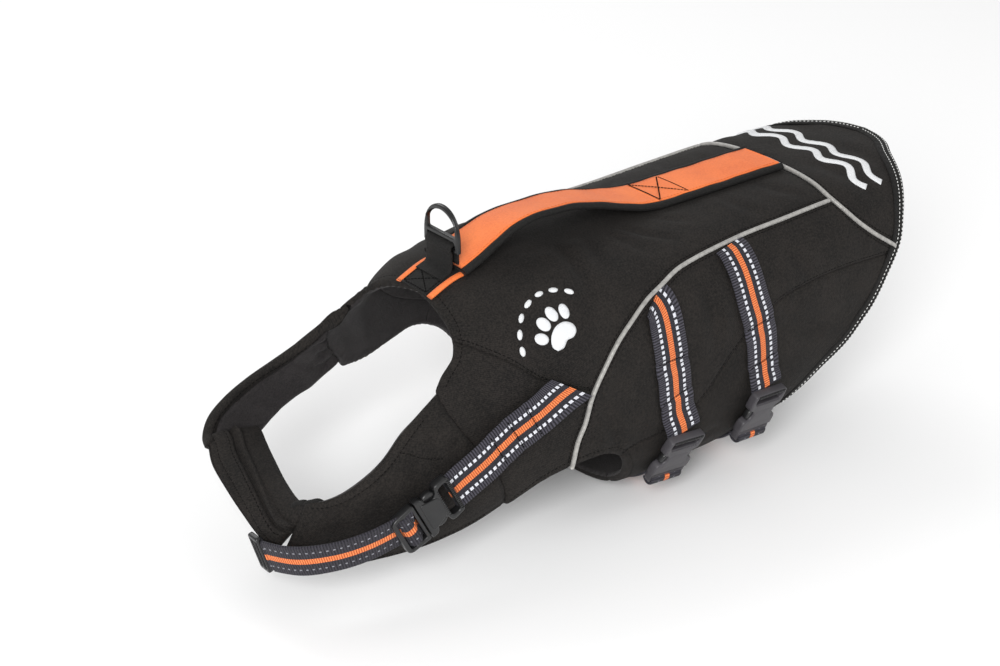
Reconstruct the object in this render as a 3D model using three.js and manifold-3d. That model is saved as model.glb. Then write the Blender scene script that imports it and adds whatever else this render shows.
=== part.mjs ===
// Padded dog life jacket, filled out as it is when worn, with nothing inside it.
// Millimetres. +X towards the tail, +Z up, the dog's left side at -Y.
// The origin is on the inside of the back panel, on the spine line, under the handle.
//
// The body is one smooth hull, given by a table of cross-sections. A place on it is
// (x, u): x is the station and u the distance round from the spine line, negative on
// the left. The cloth is a padded wall on that hull, cut into its panels along the
// seams. Straps, piping and tape are made from the same hull, moved outwards.
import * as THREE from "three";
import Module from "manifold-3d";
import { mergeVertices } from "three/addons/utils/BufferGeometryUtils.js";

const wasm = await Module();
wasm.setup();

// ---------------------------------------------------------------- sizes
const DATUM = 5; // height of the back's inner face in the tables below
const PAD = 7; // thickness of the padded panels
const BAND_PAD = 8; // thickness of the neck band
const GAP = 0.4; // clear width of a seam
const LIFT = 0.5; // clearance under the piping and the patch
const STRAP_LIFT = 1; // clearance under webbing, which bridges the facets of a panel
const WEB = 2; // thickness of the webbing
const WEB_WIDTH = 30;
const TAPE_HALF = 19; // half width of the orange tape
const GRIP_HALF = 24; // half width of the padded strip under the tape
const PIPE_WIDTH = 4.2; // reflective piping
const PIPE_THICK = 1.6;
const ROWS = 18; // stations of the body wall, neck to hem
const COLS = 40; // columns of the body wall, all the way round

// Cross-sections: spine height, half width, height of the widest place, belly height,
// and how square the upper and the lower half are.
const BODY = [
  { x: -230, top: -33, half: 76, wide: -90, bottom: -165, nTop: 2.2, nBot: 2.5 },
  { x: -150, top: -3, half: 87.5, wide: -92, bottom: -174, nTop: 2.2, nBot: 2.5 },
  { x: -115, top: 9.5, half: 92.5, wide: -92, bottom: -178, nTop: 2.65, nBot: 2.6 },
  { x: -60, top: 13, half: 99, wide: -90, bottom: -182, nTop: 3, nBot: 2.7 },
  { x: 0, top: 13, half: 102, wide: -88, bottom: -184, nTop: 3.1, nBot: 2.7 },
  { x: 70, top: 13, half: 103, wide: -88, bottom: -181, nTop: 3.1, nBot: 2.7 },
  { x: 140, top: 13.5, half: 102, wide: -88, bottom: -172, nTop: 3.4, nBot: 2.6 },
  { x: 200, top: 14, half: 100, wide: -88, bottom: -162, nTop: 3.7, nBot: 2.5 },
  { x: 320, top: 14.5, half: 95, wide: -90, bottom: -150, nTop: 3.6, nBot: 2.4 },
];
// Front edge of the body wall: share of the way round from spine to belly, station.
const FRONT = [
  { f: 0, x: -141 },
  { f: 0.127, x: -145 },
  { f: 0.163, x: -146 },
  { f: 0.2, x: -148.5 },
  { f: 0.233, x: -153 },
  { f: 0.268, x: -167 },
  { f: 0.3, x: -174 },
  { f: 0.65, x: -128 },
  { f: 0.8, x: -118 },
  { f: 1, x: -112 },
];
// Hem: share of the way round, station.
const HEM = [
  { f: 0, x: 309 },
  { f: 0.05, x: 306 },
  { f: 0.096, x: 300 },
  { f: 0.15, x: 288 },
  { f: 0.19, x: 281 },
  { f: 0.245, x: 272 },
  { f: 0.289, x: 264.5 },
  { f: 0.332, x: 258 },
  { f: 0.394, x: 251.3 },
  { f: 0.46, x: 238 },
  { f: 0.53, x: 222 },
  { f: 0.562, x: 210 },
  { f: 0.602, x: 194.5 },
  { f: 0.646, x: 169 },
  { f: 0.7, x: 152 },
  { f: 0.78, x: 139 },
  { f: 0.88, x: 132 },
  { f: 1, x: 128 },
];
// Seams, as places on the hull (left side; the right side mirrors them).
const YOKE_SEAM = [
  { x: 200, u: 0 },
  { x: 199, u: 17 },
  { x: 198, u: 35 },
  { x: 197, u: 53 },
  { x: 197, u: 73 },
  { x: 206, u: 92 },
  { x: 221, u: 107 },
  { x: 246, u: 124 },
  { x: 268, u: 139 },
];
const PIPING_SEAM = [
  { x: -82, u: 224 },
  { x: -76, u: 202 },
  { x: -73, u: 182 },
  { x: -67, u: 169 },
  { x: -61, u: 150 },
  { x: -49, u: 132 },
  { x: -36, u: 118 },
  { x: -22, u: 108 },
  { x: -4, u: 97.5 },
  { x: 13, u: 91 },
  { x: 32, u: 84 },
  { x: 51, u: 80.5 },
  { x: 76, u: 77.5 },
  { x: 103, u: 75.5 },
  { x: 142, u: 75 },
  { x: 198.4, u: 74 },
];
const SHOULDER_SEAM = [
  { x: -168, u: 42 },
  { x: -150, u: 55 },
  { x: -127, u: 88 },
  { x: -101, u: 120 },
  { x: -80, u: 136 },
  { x: -58.5, u: 147.5 },
];
const SIDE_SEAM = [
  { x: -38, u: 222 },
  { x: -24, u: 209 },
  { x: 8, u: 205 },
  { x: 38, u: 192 },
  { x: 78, u: 154.5 },
  { x: 117, u: 134 },
  { x: 148, u: 129 },
  { x: 186, u: 128 },
  { x: 224, u: 129 },
  { x: 258, u: 130 },
];
const BELLY_SEAM = 0.82; // share of the way round where belly and flank panels meet
// Edge of the leg openings, side view, left and right.
const LEG_LEFT = [
  { x: -127, z: -148 },
  { x: -101, z: -131 },
  { x: -76, z: -124 },
  { x: -58, z: -123 },
  { x: -46, z: -123 },
  { x: -33, z: -129 },
  { x: -24, z: -140 },
  { x: -18, z: -153 },
  { x: -12, z: -168 },
  { x: -8, z: -190 },
];
const LEG_RIGHT = [
  { x: -172, z: -85 },
  { x: -150, z: -91 },
  { x: -128, z: -92 },
  { x: -104, z: -87 },
  { x: -78, z: -83 },
  { x: -54, z: -92 },
  { x: -38, z: -108 },
  { x: -28, z: -128 },
  { x: -20, z: -150 },
  { x: -13, z: -168 },
  { x: -8, z: -190 },
];
// Left neck band and chest panel: upper and lower edge of each section.
const CHEST = [
  { x: -208, y: -74, z: -61.5, lx: -158, ly: -78, lz: -146, b: 6 },
  { x: -225, y: -75, z: -76.5, lx: -186, ly: -74, lz: -152, b: 4.5 },
  { x: -239, y: -73, z: -86.5, lx: -213, ly: -67, lz: -156.5, b: 3 },
  { x: -252, y: -68, z: -94.5, lx: -238, ly: -59, lz: -157, b: 2.5 },
  { x: -262, y: -61, z: -99.5, lx: -262, ly: -49, lz: -152, b: 2.5 },
  { x: -270, y: -50, z: -103.5, lx: -284, ly: -38, lz: -146, b: 2 },
];
// Front flap across the throat: hole edge and outer edge of each section.
const FLAP = [
  { x: -268.5, y: -40.5, z: -106.5, lx: -289, ly: -32.5, lz: -138, b: 1 },
  { x: -265.5, y: -28, z: -107.5, lx: -293, ly: -26, lz: -132.5, b: 1.5 },
  { x: -258, y: -4, z: -108.5, lx: -295, ly: -9, lz: -121, b: 1.5 },
  { x: -249, y: 22, z: -108, lx: -294, ly: 11, lz: -112.5, b: 1.5 },
  { x: -241.5, y: 45, z: -106, lx: -290, ly: 36, lz: -104, b: 1.5 },
  { x: -239, y: 54, z: -103.5, lx: -285, ly: 49, lz: -98, b: 1 },
];
// Right neck band: lower and upper edge of each section, shoulder to corner.
const BAND_RIGHT = [
  { x: -182, y: 78.5, z: -90, lx: -198, ly: 74, lz: -58, b: 2 },
  { x: -195, y: 76, z: -95.5, lx: -213, ly: 77, lz: -65, b: 2.5 },
  { x: -213, y: 71, z: -102, lx: -234, ly: 77, lz: -71.5, b: 2.5 },
  { x: -228, y: 68, z: -109, lx: -256, ly: 73, lz: -78.5, b: 2 },
  { x: -238, y: 64, z: -113.5, lx: -273, ly: 68, lz: -87, b: 1.5 },
  { x: -244, y: 53, z: -119.5, lx: -282, ly: 61.5, lz: -95.5, b: 1 },
];
// Inner flap, under the front flap.
const FLAP_INNER = [
  { x: -247, y: 43, z: -119.5, lx: -284, ly: 46, lz: -113.5, b: 0.5 },
  { x: -252, y: 24, z: -121.5, lx: -286, ly: 26, lz: -120, b: 0.5 },
  { x: -257, y: 0, z: -122.5, lx: -286, ly: 0, lz: -128, b: 0.5 },
];
// Handle: station, height of the under face of the padded strip, and how far it leans
// (its left edge is the higher one).
const HANDLE = [
  { x: -106, z: 13.4, roll: 0 },
  { x: -97, z: 16.4, roll: 0.04 },
  { x: -84, z: 22.4, roll: 0.1 },
  { x: -68, z: 28.2, roll: 0.17 },
  { x: -48, z: 31.2, roll: 0.2 },
  { x: -25, z: 31.2, roll: 0.18 },
  { x: 4, z: 27.6, roll: 0.1 },
  { x: 32, z: 20.6, roll: 0.04 },
  { x: 54, z: 15.6, roll: 0 },
  { x: 70, z: 13.8, roll: 0 },
  { x: 95, z: 13.8, roll: 0 },
  { x: 130, z: 14.1, roll: 0 },
  { x: 165, z: 14.4, roll: 0 },
  { x: 196, z: 14.6, roll: 0 },
];
// Free webbing of the chest strap: place and the direction that it faces.
const CHEST_STRAP = [
  { x: -70, y: -100.2, z: -53, nx: 0, ny: -0.98, nz: 0.2 },
  { x: -90, y: -99.4, z: -60, nx: -0.04, ny: -0.98, nz: 0.2 },
  { x: -107, y: -98.4, z: -67.5, nx: -0.08, ny: -0.98, nz: 0.18 },
  { x: -124, y: -97.4, z: -75.5, nx: -0.1, ny: -0.98, nz: 0.16 },
  { x: -140, y: -96.4, z: -84, nx: -0.1, ny: -0.98, nz: 0.14 },
  { x: -157, y: -95.6, z: -93, nx: -0.12, ny: -0.98, nz: 0.12 },
  { x: -174, y: -94.8, z: -102.5, nx: -0.14, ny: -0.98, nz: 0.1 },
];
const CHEST_STRAP_FRONT = [
  { x: -224.5, y: -92, z: -121.5, nx: -0.1, ny: -0.9, nz: -0.22 },
  { x: -245, y: -88, z: -126.5, nx: -0.3, ny: -0.85, nz: -0.25 },
  { x: -262, y: -81, z: -131, nx: -0.5, ny: -0.76, nz: -0.28 },
  { x: -275, y: -71, z: -134.5, nx: -0.72, ny: -0.55, nz: -0.3 },
  { x: -285, y: -58, z: -138, nx: -0.86, ny: -0.3, nz: -0.3 },
  { x: -290.5, y: -45, z: -140.5, nx: -0.93, ny: -0.14, nz: -0.3 },
  { x: -292.5, y: -37, z: -142, nx: -0.95, ny: -0.05, nz: -0.3 },
];
const BELLY_FRONT = [
  { x: 5.5, u: 109 },
  { x: 7, u: 124 },
  { x: 10, u: 145 },
  { x: 12, u: 162 },
  { x: 14, u: 178 },
  { x: 19.5, u: 198 },
  { x: 22, u: 207 },
];
const BELLY_REAR = [
  { x: 86.5, u: 82.3 },
  { x: 87.5, u: 100 },
  { x: 90.5, u: 123 },
  { x: 95.5, u: 144.5 },
  { x: 99, u: 165 },
  { x: 101.5, u: 188 },
  { x: 103, u: 197 },
];
const BUCKLE = { width: 36, thick: 7.5, socket: 24, plug: 16, gap: 0.4 };
const CHEST_BUCKLE = {
  at: [-199.5, -95.8, -113],
  along: [-38, 3, -20],
  across: [24, 0, -33],
};
const RING = { x: -117, axis: 28, half: 19.6, height: 29, band: 4.4, bar: 4, thick: 3.8, slot: 5.4, crossbar: 4.2 };
const LOOP = { half: 15, inner: 3.1, wall: 1.6 };

// ---------------------------------------------------------------- hull
// Smooth curve through a table's points that doesn't overshoot.
function curve(xs, ys) {
  const n = xs.length,
    h = [],
    d = [],
    m = new Array(n).fill(0);
  for (let i = 0; i < n - 1; i++) {
    h.push(xs[i + 1] - xs[i]);
    d.push((ys[i + 1] - ys[i]) / h[i]);
  }
  m[0] = d[0];
  m[n - 1] = d[n - 2];
  for (let i = 1; i < n - 1; i++)
    if (d[i - 1] * d[i] > 0) {
      const a = 2 * h[i] + h[i - 1],
        b = h[i] + 2 * h[i - 1];
      m[i] = (a + b) / (a / d[i - 1] + b / d[i]);
    }
  return (x) => {
    if (x <= xs[0]) return ys[0] + (x - xs[0]) * m[0];
    if (x >= xs[n - 1]) return ys[n - 1] + (x - xs[n - 1]) * m[n - 1];
    let i = 0;
    while (x > xs[i + 1]) i++;
    const t = (x - xs[i]) / h[i],
      t2 = t * t,
      t3 = t2 * t;
    return (
      (2 * t3 - 3 * t2 + 1) * ys[i] +
      (t3 - 2 * t2 + t) * h[i] * m[i] +
      (-2 * t3 + 3 * t2) * ys[i + 1] +
      (t3 - t2) * h[i] * m[i + 1]
    );
  };
}
const column = (table, key, value) =>
  curve(
    table.map((r) => r[key]),
    table.map((r) => r[value]),
  );
const body = {};
for (const k of ["top", "half", "wide", "bottom", "nTop", "nBot"])
  body[k] = column(BODY, "x", k);
const frontAt = column(FRONT, "f", "x"),
  hemAt = column(HEM, "f", "x");

const STEPS = 120;
const sections = new Map();
function section(x) {
  const key = Math.round(x * 1000);
  if (sections.has(key)) return sections.get(key);
  const top = body.top(x),
    half = body.half(x),
    wide = body.wide(x),
    bottom = body.bottom(x),
    nTop = body.nTop(x),
    nBot = body.nBot(x);
  const out = [];
  let length = 0;
  for (let i = 0; i <= STEPS; i++) {
    const a = Math.PI / 2 - (Math.PI * i) / STEPS,
      upper = a >= 0,
      n = upper ? nTop : nBot,
      s = Math.abs(Math.sin(a)) ** (2 / n);
    const y = half * Math.abs(Math.cos(a)) ** (2 / n),
      z = upper ? wide + (top - wide) * s : wide - (wide - bottom) * s;
    if (i) length += Math.hypot(y - out[i - 1].y, z - out[i - 1].z);
    out.push({ y: i === 0 || i === STEPS ? 0 : y, z, length });
  }
  sections.set(key, out);
  return out;
}
const around = (x) => section(x)[STEPS].length;
function hull(x, u) {
  const pts = section(x),
    whole = pts[STEPS].length;
  let side = u < 0 ? -1 : 1,
    v = Math.abs(u);
  if (v > whole) {
    v = 2 * whole - v;
    side = -side;
  }
  let lo = 0,
    hi = STEPS;
  while (hi - lo > 1) {
    const mid = (lo + hi) >> 1;
    if (pts[mid].length <= v) lo = mid;
    else hi = mid;
  }
  const t = (v - pts[lo].length) / (pts[hi].length - pts[lo].length);
  return new THREE.Vector3(
    x,
    side * (pts[lo].y + (pts[hi].y - pts[lo].y) * t),
    pts[lo].z + (pts[hi].z - pts[lo].z) * t,
  );
}
function normal(x, u) {
  const a = hull(x + 3, u).sub(hull(x - 3, u)),
    b = hull(x, u + 3).sub(hull(x, u - 3));
  return a.cross(b).normalize();
}
const place = (x, u, off) => hull(x, u).addScaledVector(normal(x, u), off);

// ---------------------------------------------------------------- solids
// A closed body from a grid of outer points and a grid of inner points. wrap closes
// the columns on themselves.
function shell(outer, inner, wrap = false) {
  const rows = outer.length,
    cols = outer[0].length,
    pos = [],
    idx = [];
  for (const grid of [outer, inner])
    for (const row of grid) for (const p of row) pos.push(p.x, p.y, p.z - DATUM);
  const at = (g, i, j) => g * rows * cols + i * cols + (j % cols);
  const quad = (a, b, c, d) => idx.push(a, b, c, a, c, d);
  const last = wrap ? cols : cols - 1;
  for (let i = 0; i < rows - 1; i++)
    for (let j = 0; j < last; j++) {
      quad(at(0, i, j), at(0, i + 1, j), at(0, i + 1, j + 1), at(0, i, j + 1));
      quad(at(1, i, j), at(1, i, j + 1), at(1, i + 1, j + 1), at(1, i + 1, j));
    }
  for (let j = 0; j < last; j++) {
    quad(at(0, 0, j), at(0, 0, j + 1), at(1, 0, j + 1), at(1, 0, j));
    quad(at(0, rows - 1, j + 1), at(0, rows - 1, j), at(1, rows - 1, j), at(1, rows - 1, j + 1));
  }
  if (!wrap)
    for (let i = 0; i < rows - 1; i++) {
      quad(at(0, i + 1, 0), at(0, i, 0), at(1, i, 0), at(1, i + 1, 0));
      quad(at(0, i + 1, cols - 1), at(1, i + 1, cols - 1), at(1, i, cols - 1), at(0, i, cols - 1));
    }
  const g = new THREE.BufferGeometry();
  g.setAttribute("position", new THREE.Float32BufferAttribute(pos, 3));
  g.setIndex(idx);
  return outward(g);
}
function volume(g) {
  const p = g.attributes.position,
    i = g.index;
  const a = new THREE.Vector3(),
    b = new THREE.Vector3(),
    c = new THREE.Vector3();
  let v = 0;
  for (let k = 0; k < i.count; k += 3) {
    a.fromBufferAttribute(p, i.getX(k));
    b.fromBufferAttribute(p, i.getX(k + 1));
    c.fromBufferAttribute(p, i.getX(k + 2));
    v += a.dot(b.cross(c)) / 6;
  }
  return v;
}
function outward(g) {
  if (volume(g) > 0) return g;
  const i = g.index.array;
  for (let k = 0; k < i.length; k += 3) [i[k + 1], i[k + 2]] = [i[k + 2], i[k + 1]];
  return g;
}
function toManifold(g) {
  const bare = new THREE.BufferGeometry().setAttribute("position", g.attributes.position.clone());
  if (g.index) bare.setIndex(g.index);
  const m = mergeVertices(bare, 1e-4);
  return new wasm.Manifold(
    new wasm.Mesh({
      numProp: 3,
      vertProperties: new Float32Array(m.attributes.position.array),
      triVerts: new Uint32Array(m.index.array),
    }),
  );
}
function fromManifold(s) {
  const m = s.getMesh(),
    n = m.numProp,
    pos = new Float32Array(m.numVert * 3);
  for (let i = 0; i < m.numVert; i++) pos.set(m.vertProperties.subarray(i * n, i * n + 3), i * 3);
  const g = new THREE.BufferGeometry();
  g.setAttribute("position", new THREE.BufferAttribute(pos, 3));
  g.setIndex(new THREE.BufferAttribute(new Uint32Array(m.triVerts), 1));
  return g;
}
// Places at even steps along a table of (x, u) points, smoothed.
function path(table, step) {
  const v = new THREE.CatmullRomCurve3(
    table.map((r) => new THREE.Vector3(r.x, r.u, 0)),
    false,
    "centripetal",
  );
  const n = Math.max(2, Math.round(v.getLength() / step));
  return v.getSpacedPoints(n).map((p, i) => {
    const t = v.getTangentAt(i / n);
    return { x: p.x, u: p.y, tx: t.x, tu: t.y };
  });
}
const mirror = (pts) => pts.map((p) => ({ ...p, u: -p.u, tu: -p.tu }));
// A flat strip that follows a path on the hull.
function strip(pts, half, low, high, across = 2) {
  const grid = (off) =>
    pts.map((p) =>
      Array.from({ length: across + 1 }, (_, j) => {
        const s = -half + (2 * half * j) / across;
        return place(p.x - p.tu * s, p.u + p.tx * s, off);
      }),
    );
  return shell(grid(high), grid(low));
}
// A thin blade that stands on the hull along a seam and cuts the wall there.
function blade(pts, low = -PAD - 3, high = 4) {
  return toManifold(strip(pts, GAP / 2, low, high, 1));
}
// Webbing through free points, each with the direction that it faces.
function webbing(table, half, thick, step) {
  const c = new THREE.CatmullRomCurve3(table.map((r) => new THREE.Vector3(r.x, r.y, r.z)), false, "centripetal");
  const f = new THREE.CatmullRomCurve3(table.map((r) => new THREE.Vector3(r.nx, r.ny, r.nz)), false, "centripetal");
  const n = Math.round(c.getLength() / step);
  const outer = [],
    inner = [];
  for (let i = 0; i <= n; i++) {
    const p = c.getPoint(i / n),
      t = c.getTangent(i / n),
      out = f.getPoint(i / n);
    out.addScaledVector(t, -out.dot(t)).normalize();
    const w = t.clone().cross(out);
    outer.push([-1, 0, 1].map((s) => p.clone().addScaledVector(w, s * half).addScaledVector(out, thick)));
    inner.push([-1, 0, 1].map((s) => p.clone().addScaledVector(w, s * half)));
  }
  return shell(outer, inner);
}
// A padded band between two edges given by a table, where b is how far its middle
// swells; out says which way the outer face looks.
// first is a row of points on the middle surface, where the band meets the body wall.
function band(table, thick, out, first = null, across = first ? first.length - 1 : 5, sub = 2) {
  const swell = curve(
    table.map((r, i) => i),
    table.map((r) => r.b),
  );
  const edge = (a, b, c) =>
    new THREE.CatmullRomCurve3(table.map((r) => new THREE.Vector3(r[a], r[b], r[c])), false, "centripetal");
  const A = edge("x", "y", "z"),
    B = edge("lx", "ly", "lz"),
    n = (table.length - 1) * sub,
    mid = [];
  for (let i = 0; i <= n; i++) {
    const a = A.getPoint(i / n),
      b = B.getPoint(i / n);
    mid.push(Array.from({ length: across + 1 }, (_, j) => a.clone().lerp(b, j / across)));
  }
  const start = first ? 1 : 0;
  if (first) mid.unshift(first);
  const face = (i, j) => {
    if (mid[i][j].out) return mid[i][j].out;
    const p = mid[Math.min(i + 1, mid.length - 1)][j].clone().sub(mid[Math.max(i - 1, 0)][j]),
      q = mid[i][Math.min(j + 1, across)].clone().sub(mid[i][Math.max(j - 1, 0)]);
    const w = p.cross(q).normalize();
    return w.dot(out) < 0 ? w.negate() : w;
  };
  const grid = (off) =>
    mid.map((row, i) =>
      row.map((p, j) =>
        p.clone().addScaledVector(
          face(i, j),
          off + (i < start ? 0 : swell((i - start) / sub) * Math.sin((Math.PI * j) / across)),
        ),
      ),
    );
  return shell(grid(thick / 2), grid(-thick / 2));
}

// ---------------------------------------------------------------- group
const group = new THREE.Group();
const cloth = new THREE.MeshStandardMaterial({ color: 0x282624, roughness: 0.85 });
const orange = new THREE.MeshStandardMaterial({ color: 0xf58442, roughness: 0.6 });
const grey = new THREE.MeshStandardMaterial({ color: 0xa8a5a0, roughness: 0.4 });
const web = new THREE.MeshStandardMaterial({ color: 0x3c3a46, roughness: 0.8 });
const plastic = new THREE.MeshStandardMaterial({ color: 0x343436, roughness: 0.45 });
function add(name, geometry, material, parent = group) {
  const mesh = new THREE.Mesh(geometry, material);
  mesh.name = name;
  parent.add(mesh);
  return mesh;
}

// ---------------------------------------------------------------- body wall
const cols = COLS * 2;
function wall(off) {
  const grid = [];
  for (let i = 0; i <= ROWS; i++) {
    const row = [];
    for (let j = 0; j < COLS; j++) {
      const turn = (2 * j) / COLS, // 0 spine, 1 belly, 2 spine again
        f = turn <= 1 ? turn : 2 - turn,
        side = turn <= 1 ? -1 : 1,
        x = frontAt(f) + (hemAt(f) - frontAt(f)) * (i / ROWS);
      row.push(place(x, side * f * around(x), off));
    }
    grid.push(row);
  }
  return grid;
}
let jacket = toManifold(shell(wall(0), wall(-PAD), true));

// Leg openings: prisms through one side wall each.
function prism(edge, side) {
  const shape = new THREE.Shape();
  const pts = new THREE.SplineCurve(edge.map((r) => new THREE.Vector2(r.x, r.z - DATUM))).getSpacedPoints(18);
  shape.moveTo(-260, pts[0].y - 2);
  for (const p of pts) shape.lineTo(p.x, p.y);
  shape.lineTo(pts[pts.length - 1].x + 2, -260);
  shape.lineTo(-260, -260);
  const g = new THREE.ExtrudeGeometry(shape, { depth: 200, bevelEnabled: false, curveSegments: 1 });
  g.deleteAttribute("normal");
  g.deleteAttribute("uv");
  g.rotateX(Math.PI / 2); // the shape's plane becomes x, z and its depth runs along -y
  g.translate(0, side < 0 ? 0 : 200, 0);
  return toManifold(g);
}
jacket = jacket.subtract(prism(LEG_LEFT, -1)).subtract(prism(LEG_RIGHT, 1));

// Seams.
const yokeTable = [...YOKE_SEAM.slice(1).reverse().map((r) => ({ x: r.x, u: -r.u })), ...YOKE_SEAM];
const yokePath = path(yokeTable, 14);
const pipingPath = path(PIPING_SEAM, 14);
const shoulderPath = path(SHOULDER_SEAM, 16);
const sidePath = path(SIDE_SEAM, 16);
const bellyTable = [];
for (let x = -30; x <= 170; x += 10) bellyTable.push({ x, u: BELLY_SEAM * around(x) });
const bellyPath = path(bellyTable, 20);
for (const p of [yokePath]) jacket = jacket.subtract(blade(p));
for (const p of [pipingPath, shoulderPath, sidePath, bellyPath])
  jacket = jacket.subtract(blade(p)).subtract(blade(mirror(p)));

// Each panel is the piece that holds a place known to be on it.
const PANELS = [
  { name: "back_panel", x: 60, u: 8 },
  { name: "rear_yoke", x: 260, u: 8 },
  { name: "shoulder_panel_left", x: -120, u: -150 },
  { name: "shoulder_panel_right", x: -120, u: 130 },
  { name: "side_panel_left", x: 40, u: -120 },
  { name: "side_panel_right", x: 40, u: 120 },
  { name: "flank_panel_left", x: 130, u: -170 },
  { name: "flank_panel_right", x: 130, u: 170 },
  { name: "belly_panel", x: 60, u: 310 },
];
const pieces = jacket.decompose().filter((p) => p.volume() > 5);
for (const panel of PANELS) {
  const p = place(panel.x, panel.u, -PAD / 2);
  const probe = new THREE.BoxGeometry(1, 1, 1);
  probe.deleteAttribute("normal");
  probe.deleteAttribute("uv");
  probe.translate(p.x, p.y, p.z - DATUM);
  const cube = toManifold(probe);
  const found = pieces.find((s) => s.intersect(cube).volume() > 0.5);
  if (!found) throw new Error("no cloth at " + panel.name);
  add(panel.name, fromManifold(found), cloth);
  pieces.splice(pieces.indexOf(found), 1);
}
if (pieces.length)
  throw new Error(
    "cloth left over: " +
      pieces.map((s) => JSON.stringify([s.volume().toFixed(0), s.boundingBox()])).join(" "),
  );

// Hem binding: a rim that closes the panels' rear edge, all the way round.
{
  const ring = (dx, off) => {
    const row = [];
    for (let j = 0; j < COLS; j++) {
      const turn = (2 * j) / COLS,
        f = turn <= 1 ? turn : 2 - turn,
        side = turn <= 1 ? -1 : 1,
        x = hemAt(f);
      const p = place(x, side * f * around(x), off),
        n = normal(x, side * f * around(x)),
        df = 0.012,
        f2 = f + df > 1 ? f - df : f + df,
        x2 = hemAt(f2),
        q = hull(x2, side * f2 * around(x2)),
        t = q.sub(hull(x, side * f * around(x))).normalize();
      let away = t.cross(n).normalize();
      if (away.x < 0) away.negate();
      row.push(p.addScaledVector(away, dx));
    }
    return row;
  };
  add("hem_binding", shell([ring(0.9, 0.9), ring(3, 0.9)], [ring(0.9, -PAD - 0.9), ring(3, -PAD - 0.9)], true), cloth);
}

// ---------------------------------------------------------------- neck
// Where a band meets the front edge of the body wall, at the wall's columns j0 to j1.
const meet = (side, j0, j1) => {
  const row = [];
  for (let j = j0; j !== j1 + Math.sign(j1 - j0); j += Math.sign(j1 - j0)) {
    const f = (2 * j) / COLS,
      x = frontAt(f) - 2 * GAP,
      p = place(x, side * f * around(frontAt(f)), -BAND_PAD / 2);
    p.out = normal(frontAt(f), side * f * around(frontAt(f)));
    row.push(p);
  }
  return row;
};
add("chest_panel_left", band(CHEST, BAND_PAD, new THREE.Vector3(-0.3, -1, 0), meet(-1, 6, 13)), cloth);
add("front_flap", band(FLAP, BAND_PAD - 1, new THREE.Vector3(0, 0, 1)), cloth);
add("front_flap_inner", band(FLAP_INNER, 5, new THREE.Vector3(0, 0, 1)), cloth);
add("neck_band_right", band(BAND_RIGHT, BAND_PAD, new THREE.Vector3(-0.3, 1, 0), meet(1, 9, 5)), cloth);

// ---------------------------------------------------------------- piping
const PIPE_END = { x: 193.8, u: 74 };
const pipeLeft = path([...PIPING_SEAM.slice(1, -1), PIPE_END], 12);
const pipeRight = path([{ x: -62, u: 153.5 }, ...PIPING_SEAM.slice(5, -1), PIPE_END], 12); // from the leg opening
add("side_piping_left", strip(mirror(pipeLeft), PIPE_WIDTH / 2, LIFT, LIFT + PIPE_THICK, 1), grey);
add("side_piping_right", strip(pipeRight, PIPE_WIDTH / 2, LIFT, LIFT + PIPE_THICK, 1), grey);
const yokeStrip = path(yokeTable.slice(1, -1), 12);
add("yoke_piping", strip(yokeStrip, PIPE_WIDTH / 2, LIFT, LIFT + PIPE_THICK, 1), grey);

// ---------------------------------------------------------------- handle and tape
const handleAt = column(HANDLE, "x", "z"),
  rollAt = column(HANDLE, "x", "roll");
function saddle(x0, x1, step, half, low, high, arch = 0) {
  const outer = [],
    inner = [],
    n = Math.round((x1 - x0) / step);
  for (let i = 0; i <= n; i++) {
    const x = x0 + ((x1 - x0) * i) / n,
      slope = Math.atan((handleAt(x + 1) - handleAt(x - 1)) / 2);
    const row = (off) =>
      [-1, -0.5, 0, 0.5, 1].map(
        (s) =>
          new THREE.Vector3(
            x - Math.sin(slope) * off,
            s * half,
            handleAt(x) + Math.cos(slope) * off - arch * s * s - rollAt(x) * s * half,
          ),
      );
    outer.push(row(high));
    inner.push(row(low));
  }
  return shell(outer, inner);
}
add("handle_band", saddle(-104, 193, 13, GRIP_HALF, 0, 4.6, 0.6), cloth);
add("handle_tape", saddle(-103, 69, 11, TAPE_HALF, 4.9, 6.3, 0.4), orange);
add("yoke_tape", saddle(69.6, 193, 20, TAPE_HALF, 4.9, 6.3, 0.4), orange);

// ---------------------------------------------------------------- front patch and lead ring
const patchPath = (u) => [-142, -132, -122, -112].map((x) => ({ x, u, tx: 1, tu: 0 }));
add("patch", strip(patchPath(0), 15, LIFT, LIFT + 1.4, 4), cloth);
add("patch_strip_left", strip(patchPath(-18), 2.6, LIFT, LIFT + 1.4, 1), orange);
add("patch_strip_right", strip(patchPath(18), 2.6, LIFT, LIFT + 1.4, 1), orange);

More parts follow.
